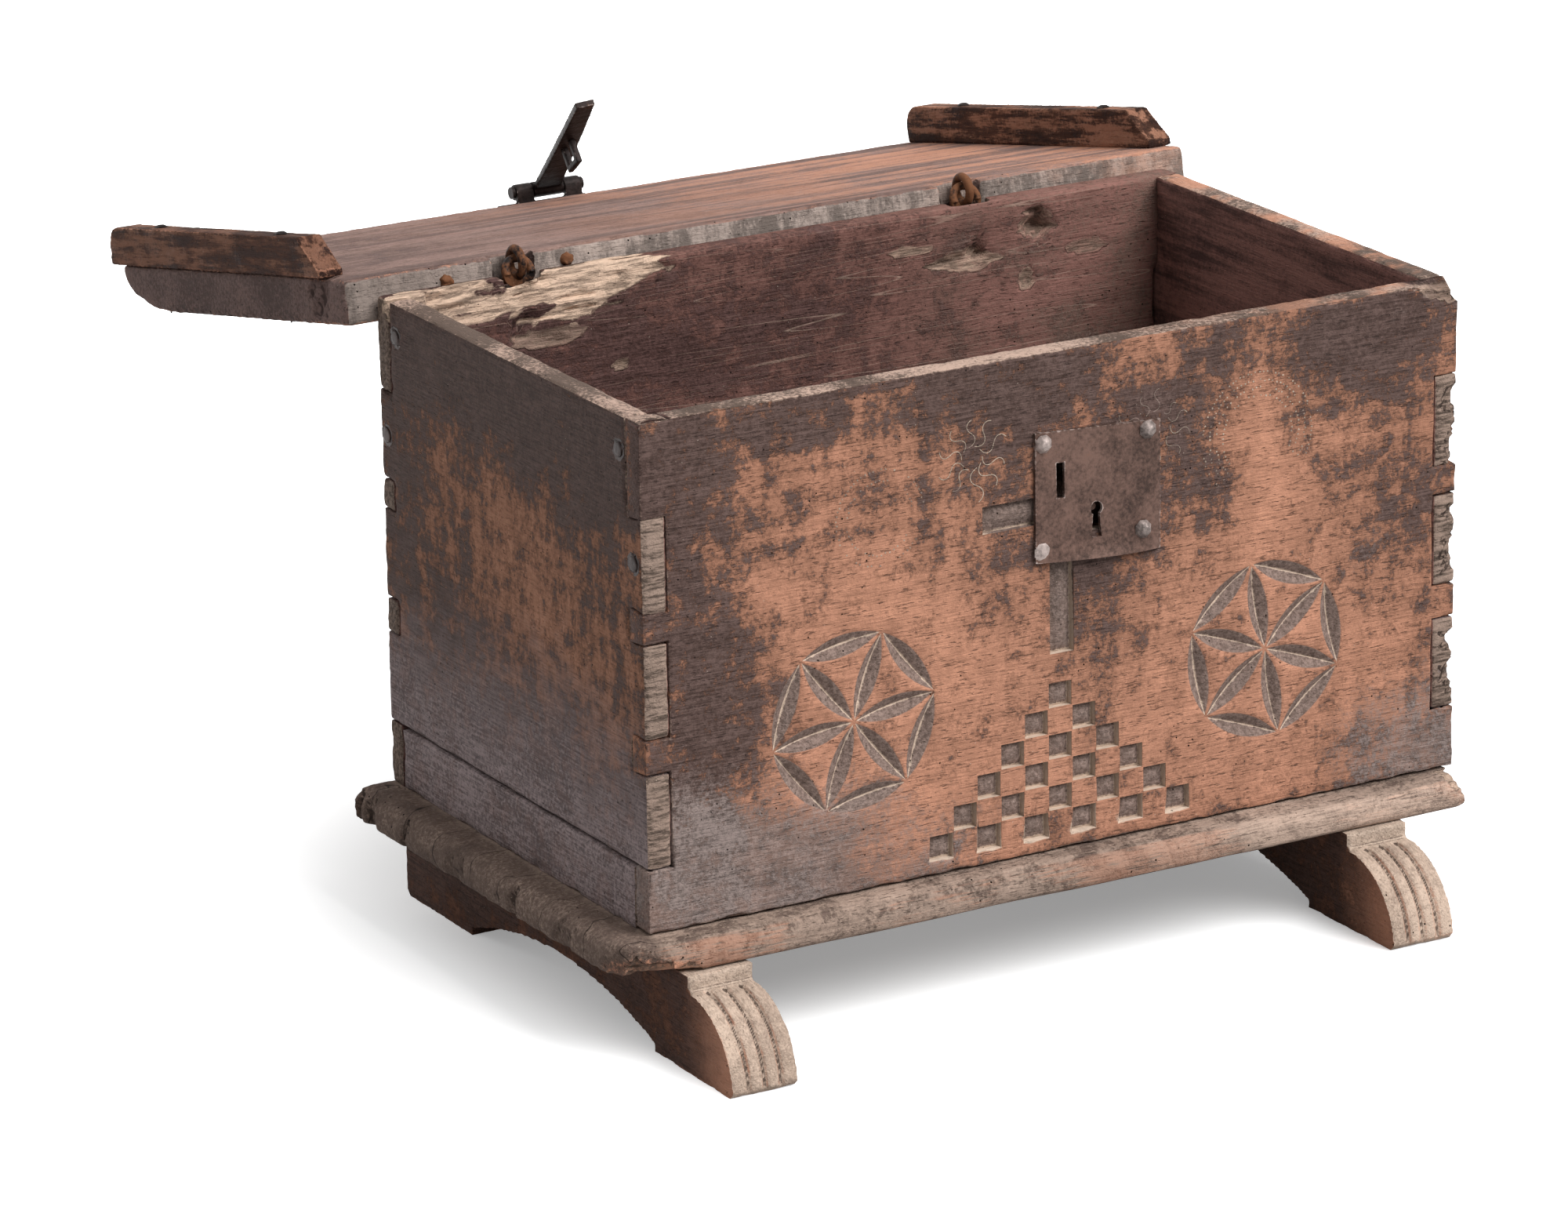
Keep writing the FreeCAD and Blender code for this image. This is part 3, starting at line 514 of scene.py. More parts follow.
def foot_over(f, shade, cloud, speck, fibre):
    """Pale worn toe and ledge in front of the base board, and sides rubbed orange towards the toe."""
    wood = f.wood
    near = f.step(BASE_LOW.y + 0.010, TOE_TIP + 0.004, f.y, (cloud, 0.06), (speck, 0.03))
    shade = f.mix(f.times(near, 0.8), shade, tone(wood.front, 1.05))
    side = f.across(ALONG_X, 0.75, 0.5)
    ahead = f.ramp(f.y, BASE_LOW.y + 0.012, BASE_LOW.y + 0.004)
    grain = f.step(0.34, 0.64, cloud, (fibre, 0.5), (speck, 0.25))
    return f.mix(f.times(side, ahead, 0.92), shade, f.tones(grain, wood.toe, 0.66, 1.1))


def lid_over(f, shade, cloud, speck, fibre):
    """Dark streaks, orange to the right, a sawn back edge, dark end grain and a dark outer face."""
    wood = f.wood
    streak = f.noise(70.0, 4.0, 0.7, f.drawn(ALONG_X, 0.05))
    shade = f.mix(f.times(f.ramp(streak, 0.52, 0.38), 0.6), shade, wood.lid_dark)
    bare = f.times(f.ramp(f.x, -0.20, 0.22), f.step(0.38, 0.62, cloud, (streak, 0.8), (speck, 0.5)))
    shade = f.mix(f.times(bare, 0.72), shade, tone(wood.front, 1.2))
    outside = f.ramp(f.facing[ALONG_Z], 0.2, -0.2)
    shade = f.mix(outside, shade, weathered(f, cloud, speck, fibre))
    saw = f.noise(110.0, 4.0, 0.7, f.drawn(ALONG_Z, 0.10))
    tooth = f.step(0.34, 0.68, saw, (speck, 0.6), (cloud, 1.3))
    sawn = f.tones(tooth, wood.lid_edge, 0.42, 1.05)
    sawn = f.mix(f.times(f.ramp(f.x, -0.12, -HALF), 0.5), sawn, tone(wood.lid_edge, 0.30))
    sawn = f.mix(f.times(f.ramp(f.x, 0.05, HALF), f.ramp(cloud, 0.42, 0.60), 0.5), sawn, wood.front)
    edge = f.times(f.faces(ALONG_Y, -1.0), f.ramp(f.y, LID_LOW.y + 0.03, LID_LOW.y + 0.02))
    shade = f.mix(edge, shade, sawn)
    ends = f.across(ALONG_X, 0.6, 0.85)
    mottled = f.step(0.38, 0.65, speck, (cloud, 0.8))
    end = f.tones(mottled, wood.lid_dark, 0.55, 1.7)
    return f.mix(f.times(ends, 0.9), shade, end)


def cleat_over(f, shade, cloud, speck, fibre):
    """Pale and dark streaks along the cleats, more pale ones on the right cleat as painted light against
    the shade it sits in, and darker slopes on both.
    """
    wood = f.wood
    streak = f.noise(160.0, 5.0, 0.72, f.drawn(ALONG_Y, 0.10))
    # Painted light: the right cleat gets more pale streaks, which lift it out of the shade it sits in.
    right_cleat_painted_light = f.plus(0.55, f.times(f.ramp(f.x, -0.01, 0.01), 0.40))
    pale = f.step(0.46, 0.62, streak, (cloud, 0.8), (speck, 0.3))
    shade = f.mix(f.times(pale, right_cleat_painted_light), shade, tone(wood.front, 0.62))
    black = f.step(0.46, 0.34, streak, (cloud, 0.8), (speck, 0.3))
    shade = f.mix(f.times(black, 0.85), shade, wood.cleat_dark)
    slope = f.times(f.faces(ALONG_Y, -1.0), f.ramp(speck, 0.70, 0.46))
    return f.mix(f.times(slope, 0.9), shade, wood.cleat_dark)


def iron(name, base, rust, rust_cover, metal=0.35, rub_share=0.6):
    """Forged iron with pits, rust, and pale sharp edges that are partly rubbed iron and partly a painted
    highlight.
    """
    f = Finish(name)
    colours = bpy.context.scene.chest_iron
    cloud = f.noise(60.0, 5.0, 0.65)
    pit = f.noise(420.0, 4.0, 0.7)
    mottled = f.ramp(f.plus(f.times(pit, 0.5), f.times(cloud, 0.5)), 0.34, 0.64)
    shade = f.tones(mottled, base, 0.40, 1.7)
    rusty = f.step(-0.15, 0.3, rust_cover, (cloud, 2.4), (pit, 1.2))
    shade = f.mix(f.times(rusty, 0.85), shade, rust)
    # Pale sharp edges: partly rubbed iron, partly a painted highlight such as the lit top edge of the lock
    # plate.
    rub = f.step(0.75, 1.05, f.mark("arris"), (pit, 1.0), (cloud, 1.2))
    shade = f.mix(f.times(rub, rub_share), shade, colours.bright)
    f.shader.inputs["Metallic"].default_value = metal
    f.shader.inputs["Specular IOR Level"].default_value = 0.15
    rough = f.plus(0.50, f.times(rusty, 0.28), f.times(rub, -0.12))
    return f.finish(shade, rough, f.plus(f.times(pit, 0.6), cloud), 0.0005)


# Depth in the back board at which the clenched tips of the eyes end
TIP_END = INNER_BACK + 0.011


class Blank:
    """Copy of a solid on its way to a worn piece."""

    def __init__(self, node, chipped=None):
        self.node = node
        self.bm = bmesh.new()
        self.bm.from_mesh(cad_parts[node].data)
        bmesh.ops.remove_doubles(self.bm, verts=self.bm.verts, dist=1e-6)
        self.edges = self.edge_points(math.radians(40), 0.0012, chipped)

    def outer_edges(self, least):
        """Edges that stick out, and are sharper than an angle."""
        pairs = [edge for edge in self.bm.edges if len(edge.link_faces) == 2]
        return [edge for edge in pairs if edge.is_convex and edge.calc_face_angle(0.0) > least]

    def edge_points(self, least, step, chosen):
        """Search tree of points along the sharp outer edges, or the chosen ones among them."""
        points = []
        for edge in self.outer_edges(least):
            start, end = (vert.co for vert in edge.verts)
            count = max(1, int(edge.calc_length() / step))
            points += [start.lerp(end, i / count) for i in range(count + 1)]
        points = [point for point in points if not chosen or chosen(point)]
        tree = kdtree.KDTree(len(points))
        for index, point in enumerate(points):
            tree.insert(point, index)
        tree.balance()
        return tree

    def ease(self, width, chosen):
        """Rounds the chosen sharp edges."""
        bm = self.bm
        bmesh.ops.dissolve_limit(bm, angle_limit=math.radians(1), verts=bm.verts, edges=bm.edges)
        sharp = self.outer_edges(math.radians(50))
        edges = [edge for edge in sharp if chosen((edge.verts[0].co + edge.verts[1].co) / 2)]
        bmesh.ops.bevel(bm, geom=edges, offset=width, affect="EDGES", segments=2, profile=0.5, material=-1)
        self.sort()
        bmesh.ops.triangulate(bm, faces=bm.faces)
        self.sort()

    def sort(self):
        """Puts the mesh in an order that depends only on its shape, so that every run is the same."""
        def spot(point):
            return tuple(round(part, 6) for part in point)
        for items, key in (
            (self.bm.verts, lambda vert: spot(vert.co)),
            (self.bm.edges, lambda edge: sorted(spot(vert.co) for vert in edge.verts)),
            (self.bm.faces, lambda face: spot(face.calc_center_median())),
        ):
            for index, item in enumerate(sorted(items, key=key)):
                item.index = index
            items.sort()

    def cells(self, cell, axes, chosen=None):
        """Cuts the chosen faces across some axes at even steps, so that they can be worn."""
        bm = self.bm
        faces = [face for face in bm.faces if not chosen or chosen(face.calc_center_median())]
        geometry = list(dict.fromkeys(vert for face in faces for vert in face.verts))
        geometry += list(dict.fromkeys(edge for face in faces for edge in face.edges))
        geometry += faces
        for axis in axes:
            places = [vert.co[axis] for vert in bm.verts]
            low, high = min(places), max(places)
            count = int((high - low) / cell)
            across = Vector((0.0, 0.0, 0.0))
            across[axis] = 1.0
            for i in range(1, count):
                place = across * (low + (high - low) * i / count)
                cut = bmesh.ops.bisect_plane(bm, geom=geometry, plane_co=place, plane_no=across)
                geometry = cut["geom"]
        bmesh.ops.triangulate(bm, faces=[face for face in bm.faces if len(face.verts) > 4])

    def even(self, cell):
        """Remakes the mesh with faces of even size."""
        mesh = bpy.data.meshes.new("blank")
        self.bm.to_mesh(mesh)
        blank = bpy.data.objects.new("blank", mesh)
        bpy.context.scene.collection.objects.link(blank)
        remesh = blank.modifiers.new("Even", "REMESH")
        remesh.mode = "VOXEL"
        remesh.voxel_size = cell
        even = bpy.data.meshes.new_from_object(blank.evaluated_get(bpy.context.evaluated_depsgraph_get()))
        self.bm.clear()
        self.bm.from_mesh(even)
        bpy.data.objects.remove(blank)
        bpy.data.meshes.remove(mesh)
        bpy.data.meshes.remove(even)

    def layer(self, name):
        """Value that each vertex carries into the material."""
        layers = self.bm.verts.layers.float
        return layers.get(name) or layers.new(name)

    def wear(self, chip, reach, ridge, axis, scale=70.0):
        """Chips the edges, raises low ridges along the grain and notes how worn each spot is."""
        layer = self.layer("arris")
        stretch = Vector((1.0, 1.0, 1.0))
        stretch[axis] = 0.08
        self.bm.normal_update()
        moves = []
        for vert in self.bm.verts:
            share = max(0.0, 1.0 - self.edges.find(vert.co)[2] / reach)
            vert[layer] = share
            bite = max(0.0, 0.3 + noise.fractal(vert.co * scale, 0.7, 2.0, 4))
            wave = noise.fractal(vert.co * stretch * 160.0, 0.8, 2.0, 3)
            moves.append(vert.normal * (ridge * wave - chip * share * share * bite))
        for vert, move in zip(self.bm.verts, moves):
            vert.co += move

    def hollows(self, cell):
        """Notes how far each spot sinks below its neighbours; the material darkens such spots, partly for
        dirt that settles there and partly as painted shade.
        """
        layer = self.layer("hollow_dirt_and_shade")
        self.bm.normal_update()
        for vert in self.bm.verts:
            around = [edge.other_vert(vert).co for edge in vert.link_edges]
            middle = sum(around, Vector()) / len(around)
            vert[layer] = (middle - vert.co).dot(vert.normal) / cell

    def creases(self):
        """Notes the inner corners of the carving, which the material paints pale."""
        layer = self.layer("crease")
        for edge in self.bm.edges:
            inner = len(edge.link_faces) == 2 and not edge.is_convex
            if inner and edge.calc_face_angle(0.0) > math.radians(15):
                for vert in edge.verts:
                    vert[layer] = 1.0

    def gouge(self, centre, reach, push, rag=0.35, fresh=1.0, scale=130.0, drawn=(1.0, 1.0, 1.0)):
        """Breaks wood away about a centre, raggedly, and notes where it is torn and how fresh."""
        # A new layer moves the others, so both are made before either is used
        for name in ("torn", "fresh"):
            self.layer(name)
        torn, new = self.layer("torn"), self.layer("fresh")
        centre, push = Vector(centre), Vector(push)
        for vert in self.bm.verts:
            offset = vert.co - centre
            share = 1.0 - Vector([part / limit for part, limit in zip(offset, reach)]).length
            if share > -rag:
                share += rag * noise.fractal(vert.co * Vector(drawn) * scale, 0.7, 2.0, 4)
                if share > 0.0:
                    vert.co += push * min(1.0, 1.7 * share)
                    vert[torn] = max(vert[torn], min(1.0, 4.0 * share))
                    vert[new] = max(vert[new], fresh)

    def nails(self):
        """Lists the vertices of each separate nail."""
        seen, nails = set(), []
        for first in self.bm.verts:
            if first not in seen:
                seen.add(first)
                nail = [first]
                for vert in nail:
                    near = [edge.other_vert(vert) for edge in vert.link_edges]
                    nail += [other for other in near if other not in seen]
                    seen.update(near)
                nails.append(nail)
        return nails

    def spread_heads(self, factor):
        """Widens what shows of each nail at the ends of the case, about the nail's own middle."""
        for nail in self.nails():
            middle = sum((vert.co for vert in nail), Vector()) / len(nail)
            for vert in nail:
                if abs(vert.co.x) > HALF:
                    vert.co.y = middle.y + factor * (vert.co.y - middle.y)
                    vert.co.z = middle.z + factor * (vert.co.z - middle.z)

    def drive_home(self):
        """Sinks a clenched tip into the wood of the back board."""
        for vert in self.bm.verts:
            if vert.co.z < TOP and vert.co.y < TIP_END:
                vert.co.y = TIP_END - 0.05 * (TIP_END - vert.co.y)

    def place(self, name, body, material, slot):
        """Makes the piece, in place of its solid."""
        bm = self.bm
        for face in bm.faces:
            face.smooth = True
        for edge in bm.edges:
            edge.smooth = len(edge.link_faces) == 2 and edge.calc_face_angle(0.0) < math.radians(35)
        piece = link_piece(name, bm, material)
        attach(piece, body)
        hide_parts(self.node)


def settings():
    """Colours of the wood and sizes of the wear."""
    scene = bpy.context.scene
    return scene.chest_wood, scene.chest_wear


def link_piece(name, bm, material):
    """Puts a finished mesh in the scene as a piece."""
    mesh = bpy.data.meshes.new(name)
    bm.to_mesh(mesh)
    bm.free()
    mesh.materials.append(material)
    piece = bpy.data.objects.new(name, mesh)
    bpy.context.scene.collection.objects.link(piece)
    return piece


def dress(material, *nodes):
    """Gives solids that keep their shape a better finish."""
    for node in nodes:
        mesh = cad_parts[node].data
        mesh.materials.clear()
        mesh.materials.append(material)


class CHEST_OT_front(bpy.types.Operator):
    """Makes the carved front board"""
    bl_idname = "chest.front"
    bl_label = "Front board"

    def execute(self, context):
        wood, wear = settings()

        def outline(point):
            return min(HALF - abs(point.x), point.z - FRONT_LOW.z, TOP - point.z)
        blank = Blank("front_board", lambda point: outline(point) < BOARD + wear.ease)
        blank.ease(wear.ease, lambda point: outline(point) < BOARD + wear.ease)
        blank.creases()
        blank.cells(wear.cell, (ALONG_X, ALONG_Z))
        blank.cells(wear.rim_cell, (ALONG_X, ALONG_Z), lambda point: outline(point) < wear.cell)
        blank.wear(chip=0.0010, reach=0.0035, ridge=0.00006, axis=ALONG_X)
        corner = (HALF, FRONT_FACE, TOP)
        blank.gouge(corner, (0.026, 0.012, 0.012), (-0.001, 0.004, -0.005), rag=0.25, fresh=0.3)
        material = old_wood(
            "carved front", ALONG_X, wood.front, wood.front_dark, 0.0, front_field, front_over,
            rub_share=0.4)
        blank.place("front_board_worn", "case", material, "front_wood")
        return {"FINISHED"}


# Scratched sprigs: place on the front, radius of the ring, count and length of the curls in millimetres
SPRIGS = (
    ((-0.218, 0.819), 6.0, 10, 19.0),
    ((0.231, 0.812), 9.0, 11, 17.0),
)
# Punched dots: place on the front, radius of each arc in millimetres, first and last angle
FANS = (
    ((-0.44, 0.735), (19, 25), 10, 330),
    ((0.487, 0.762), (21, 25, 29, 33), -30, 230),
)


class CHEST_OT_marks(bpy.types.Operator):
    """Makes the sprigs scratched and the dots punched in the front"""
    bl_idname = "chest.marks"
    bl_label = "Scratched marks"

    def execute(self, context):
        wood, wear = settings()
        bm = bmesh.new()
        for spot, ring, count, length in SPRIGS:
            for i in range(count):
                stray = noise.noise(Vector((7.3 * i, ring, length)))
                self.curl(
                    bm, front_point(*spot), math.tau * (i + 0.6 * stray) / count, 0.001 * ring,
                    0.001 * length * (1.0 + 0.6 * stray), 0.7 * wear.scratch)
        for spot, radii, first, last in FANS:
            for radius in radii:
                self.fan(
                    bm, front_point(*spot), 0.001 * radius, math.radians(first), math.radians(last),
                    wear.scratch)
        for vert in bm.verts:
            vert.co.y -= 0.0001
        bm.normal_update()
        bmesh.ops.reverse_faces(bm, faces=[face for face in bm.faces if face.normal.y > 0.0])
        material = old_wood("scratched wood", ALONG_X, tone(wood.carving_pale, 0.85), wood.carving, -0.2)
        marks = link_piece("front_marks", bm, material)
        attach(marks, "case")
        return {"FINISHED"}

    def curl(self, bm, centre, angle, ring, length, width):
        """Thin double curve that leaves a ring about a centre."""
        steps = 18
        place = centre + ring * Vector((math.cos(angle), 0.0, math.sin(angle)))
        lean, swing = math.radians(-25), math.radians(60)
        rows = []
        for i in range(steps + 1):
            heading = angle + lean - swing * math.cos(math.tau * i / steps)
            along = Vector((math.cos(heading), 0.0, math.sin(heading)))
            side = width * Vector((-along.z, 0.0, along.x))
            rows.append((bm.verts.new(place + side), bm.verts.new(place - side)))
            place = place + length / steps * along
        for near, far in zip(rows, rows[1:]):
            bm.faces.new((near[0], near[1], far[1], far[0]))

    def fan(self, bm, centre, radius, first, last, width):
        """Arc of punched dots about a centre, some of them worn away."""
        spacing = 0.0024
        count = int((last - first) * radius / spacing)
        for i in range(count):
            turn = first + (last - first) * i / count
            spot = centre + radius * Vector((math.cos(turn), 0.0, math.sin(turn)))
            stray = noise.noise_vector(spot * 900.0)
            if stray.y < 0.2:
                spot += 0.0009 * Vector((stray.x, 0.0, stray.z))
                facing = Matrix.Translation(spot) @ Matrix.Rotation(math.radians(90), 4, "X")
                bmesh.ops.create_circle(
                    bm, cap_ends=True, segments=7, radius=width * (1.5 + 0.6 * stray.x), matrix=facing)


# Tears inside the back: part of the half length, drop from the top, reach along (part of the half length)
# and up, depth, and how fresh the wood is
TEARS = (
    (-0.86, 0.004, 0.16, 0.018, 0.0045, 0.9), (-0.54, 0.000, 0.24, 0.024, 0.0055, 1.0),
    (-0.68, 0.026, 0.04, 0.010, 0.0040, 0.0), (-0.62, 0.034, 0.10, 0.006, 0.0020, 0.3),
    (0.45, 0.030, 0.100, 0.007, 0.0035, 0.45), (0.47, 0.026, 0.040, 0.005, 0.0055, 0.0),
    (0.625, 0.016, 0.050, 0.011, 0.0045, 0.25), (0.63, 0.018, 0.028, 0.009, 0.0060, 0.0),
    (0.30, 0.020, 0.065, 0.003, 0.0012, 0.5), (0.60, 0.046, 0.022, 0.007, 0.0025, 0.35),
    (0.76, 0.033, 0.050, 0.006, 0.0015, 0.2), (-0.44, 0.055, 0.020, 0.004, 0.0020, 0.4),
)


class CHEST_OT_back(bpy.types.Operator):
    """Makes the back board with its torn top and gouges"""
    bl_idname = "chest.back"
    bl_label = "Back board"

    def execute(self, context):
        wood, wear = settings()
        blank = Blank("back_board")
        blank.even(wear.even)
        blank.wear(chip=0.0014, reach=0.004, ridge=0.00022, axis=ALONG_X)
        for part_x, drop, reach_x, reach_z, deep, fresh in TEARS:
            blank.gouge(
                (part_x * HALF, INNER_BACK, TOP - drop), (reach_x * HALF, 0.012, reach_z),
                (0.0, deep, -0.0005), rag=0.40, fresh=fresh, scale=170.0, drawn=(0.16, 1.0, 1.0))
        blank.hollows(wear.even)
        material = old_wood(
            "back wood", ALONG_X, wood.inside, wood.inside_dark, 0.0, back_field, back_over, rub_share=0.5)
        blank.place("back_board_worn", "case", material, "case_wood")
        return {"FINISHED"}


# Chips at the right front corner: part of the height, reach up and depth
CORNER_CHIPS = (
    (0.20, 0.010, 0.005), (0.27, 0.006, 0.007), (0.45, 0.012, 0.004),
    (0.53, 0.005, 0.003), (0.66, 0.014, 0.005), (0.76, 0.010, 0.004),
)


class CHEST_OT_ends(bpy.types.Operator):
    """Makes the two end boards and the strips under them"""
    bl_idname = "chest.ends"
    bl_label = "End boards"

    def execute(self, context):
        wood, wear = settings()
        material = old_wood(
            "end wood", ALONG_Y, wood.end, wood.end_dark, 0.38, end_field, end_over, rub_share=0.3)
        for node in ("left_end_board", "right_end_board", "left_lower_strip", "right_lower_strip"):
            blank = Blank(node)
            blank.even(wear.even)
            blank.wear(chip=0.0013, reach=0.0035, ridge=0.00012, axis=ALONG_Y)
            if node == "right_end_board":
                for part_z, high, deep in CORNER_CHIPS:
                    blank.gouge(
                        (HALF, FRONT_FACE, BASE_TOP + part_z * HEIGHT), (0.009, 0.016, high),
                        (-0.6 * deep, 0.001, 0.0), rag=0.7, fresh=0.0, scale=260.0)
            blank.hollows(wear.even)
            blank.place(node + "_worn", "case", material, "case_wood")
        return {"FINISHED"}


# Chips along the left nose of the base: place from front to back, width and depth
NOSE_CHIPS = (
    (-0.205, 0.010, 0.0015), (-0.150, 0.004, 0.0025), (-0.085, 0.010, 0.0015),
    (-0.030, 0.004, 0.0030), (0.008, 0.006, 0.0030), (0.022, 0.004, 0.0050),
)


class CHEST_OT_base(bpy.types.Operator):
    """Makes the weathered base board"""
    bl_idname = "chest.base"
    bl_label = "Base board"

    def execute(self, context):
        wood, wear = settings()
        blank = Blank("base_board")
        blank.even(wear.even)
        blank.wear(chip=0.0016, reach=0.007, ridge=0.0005, axis=ALONG_X, scale=110.0)
        corner = (BASE_LOW.x + 0.016, BASE_LOW.y + 0.004, BASE_LOW.z)
        blank.gouge(corner, (0.030, 0.016, 0.010), (0.003, 0.004, 0.002), rag=0.4, fresh=0.2)
        for place_y, wide, deep in NOSE_CHIPS:
            blank.gouge(
                (BASE_LOW.x, place_y, BASE_LOW.z + 0.004), (0.014, wide, 0.012), (deep, 0.0, 0.0),
                rag=0.6, fresh=0.0)
        splintered = (BASE_HIGH.x, BASE_LOW.y + 0.006, BASE_TOP - 0.002)
        blank.gouge(splintered, (0.012, 0.014, 0.008), (-0.004, 0.002, -0.001), rag=0.6, fresh=0.5)
        blank.hollows(wear.even)
        material = old_wood(
            "base wood", ALONG_X, wood.base, wood.base_dark, -0.22, over=base_over, rub_share=0.3,
            holes=0.10)
        blank.place("base_board_worn", "case", material, "base_wood")
        return {"FINISHED"}


class CHEST_OT_feet(bpy.types.Operator):
    """Makes the two runner feet"""
    bl_idname = "chest.feet"
    bl_label = "Runner feet"

    def execute(self, context):
        wood, wear = settings()
        material = old_wood(
            "foot wood", ALONG_Y, wood.foot, wood.foot_dark, 0.3, over=foot_over, rub=wood.front,
            rub_share=0.4)
        for node in ("left_runner_foot", "right_runner_foot"):
            blank = Blank(node)
            blank.even(wear.fine)
            blank.wear(chip=0.0006, reach=0.003, ridge=0.00010, axis=ALONG_Y)
            blank.hollows(wear.fine)
            blank.place(node + "_worn", "case", material, "foot_wood")
        dress(material, "foot_pegs")
        return {"FINISHED"}


class CHEST_OT_lid(bpy.types.Operator):
    """Makes the lid board and its two cleats"""
    bl_idname = "chest.lid"
    bl_label = "Lid"

    def execute(self, context):
        wood, wear = settings()
        blank = Blank("lid_board")
        blank.even(wear.even)
        blank.wear(chip=0.0012, reach=0.004, ridge=0.00015, axis=ALONG_X)
        blank.gouge(
            (LID_LOW.x, LID_LOW.y + 0.033, LID_HIGH.z), (0.012, 0.012, 0.030), (0.004, 0.0, -0.001),
            rag=0.3, fresh=0.0)
        blank.hollows(wear.even)
        material = old_wood(
            "lid wood", ALONG_X, wood.lid, wood.lid_dark, -0.40, over=lid_over, rub=wood.front)
        blank.place("lid_board_worn", "lid", material, "lid_wood")
        cleat_wood = old_wood(
            "cleat wood", ALONG_Y, wood.cleat, wood.cleat_dark, -0.1, over=cleat_over, rub=wood.front,
            rub_share=0.5, slope=LID_SLOPE)
        for node in ("left_cleat", "right_cleat"):
            blank = Blank(node)
            blank.even(wear.fine)
            blank.wear(chip=0.0006, reach=0.003, ridge=0.00012, axis=ALONG_Y)
            blank.place(node + "_worn", "lid", cleat_wood, "lid_wood")
        return {"FINISHED"}


# Broken nails in the back edge of the lid: along it, and up from the floor while it lies open
STUBS = ((-0.1975, 0.3335), (-0.1267, 0.3350))


class CHEST_OT_iron(bpy.types.Operator):
    """Makes the hinge eyes, hasp and nails"""
    bl_idname = "chest.iron"
    bl_label = "Iron"

    def execute(self, context):
        colours, wear = context.scene.chest_iron, context.scene.chest_wear
        dark = iron("black iron", colours.dark, colours.rust, -0.6)
        driven = iron("driven nails", tone(colours.dark, 1.6), colours.rust, -0.7, rub_share=0.08)
        rusty = iron("rusted iron", colours.dark, colours.rust, 0.1)
        brown = iron("nail iron", tone(colours.bright, 0.50), colours.rust, -0.9)
        for body, material, slot, nodes in (
            ("case", rusty, "eye_iron", ("left_wall_eye", "right_wall_eye")),
            ("lid", rusty, "eye_iron", ("left_lid_eye", "right_lid_eye")),
            ("lid", dark, "hasp_iron", ("hasp_plate",)),
            ("hasp", dark, "hasp_iron", ("hasp_strap", "hasp_staple")),
            ("case", driven, "nail_iron", ("corner_nails",)),
            ("lid", dark, "nail_iron", ("cleat_nails", "hasp_plate_nails")),
        ):
            for node in nodes:
                blank = Blank(node)
                blank.even(wear.iron)
                blank.wear(chip=0.0003, reach=0.0015, ridge=0.00012, axis=ALONG_X, scale=300.0)
                if node.endswith("wall_eye"):
                    blank.drive_home()
                if node == "corner_nails":
                    blank.spread_heads(1.6)
                blank.place(node + "_forged", body, material, slot)
        blank = Blank("lock_plate_nails")
        blank.ease(wear.iron, lambda point: point.y < FRONT_FACE)
        blank.wear(chip=0.0003, reach=0.0012, ridge=0.0, axis=ALONG_X, scale=300.0)
        blank.place("lock_plate_nails_forged", "case", brown, "nail_iron")
        dress(dark, "lock_bolt", "hasp_pin", "base_nails")
        self.stubs(rusty)
        return {"FINISHED"}

    def stubs(self, material):
        """Makes the broken nails that stand a little out of the back edge of the lid."""
        lid = Blank("lid_board").bm
        surface = bvhtree.BVHTree.FromBMesh(lid)
        lid.free()
        bm = bmesh.new()
        for x, z in STUBS:
            place, facing = surface.find_nearest(Vector((x, LID_LOW.y, z)))[:2]
            aim = Matrix.Translation(place) @ facing.to_track_quat("Z", "Y").to_matrix().to_4x4()
            bmesh.ops.create_cone(
                bm, cap_ends=True, cap_tris=True, segments=10, radius1=0.0044, radius2=0.0030,
                depth=0.0050, matrix=aim)
        bmesh.ops.subdivide_edges(bm, edges=bm.edges, cuts=2, use_grid_fill=True)
        for vert in bm.verts:
            vert.co += 0.0011 * noise.noise_vector(vert.co * 420.0)
        for face in bm.faces:
            face.smooth = True
        stubs = link_piece("lid_nail_stubs", bm, material)
        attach(stubs, "lid")


class CHEST_OT_lock(bpy.types.Operator):
    """Makes the lock plate, bent at its lower edge, and finishes the works behind it"""
    bl_idname = "chest.lock"
    bl_label = "Lock"

    def execute(self, context):
        colours, wear = context.scene.chest_iron, context.scene.chest_wear
        brown = iron("browned iron", colours.plate, colours.rust, -0.7)
        blank = Blank("lock_plate")
        blank.cells(wear.plate, (ALONG_X, ALONG_Z))
        middle = (PLATE_LOW.x + PLATE_HIGH.x) / 2
        half = (PLATE_HIGH.x - PLATE_LOW.x) / 2
        bend_high, bend_out = 0.016, 0.0035
        for vert in blank.bm.verts:
            across = (vert.co.x - middle) / half
            drop = max(0.0, PLATE_LOW.z + 0.002 + bend_high - vert.co.z) / bend_high
            vert.co.y -= bend_out * drop * drop * max(0.0, 1.0 - across * across)
        blank.wear(chip=0.0004, reach=0.002, ridge=0.00018, axis=ALONG_X, scale=200.0)
        blank.place("lock_plate_forged", "case", brown, "lock_iron")
        dress(brown, "lock_back_plate", "lock_back_plate_nails", "bolt_keepers", "bolt_spring", "key_post")
        return {"FINISHED"}


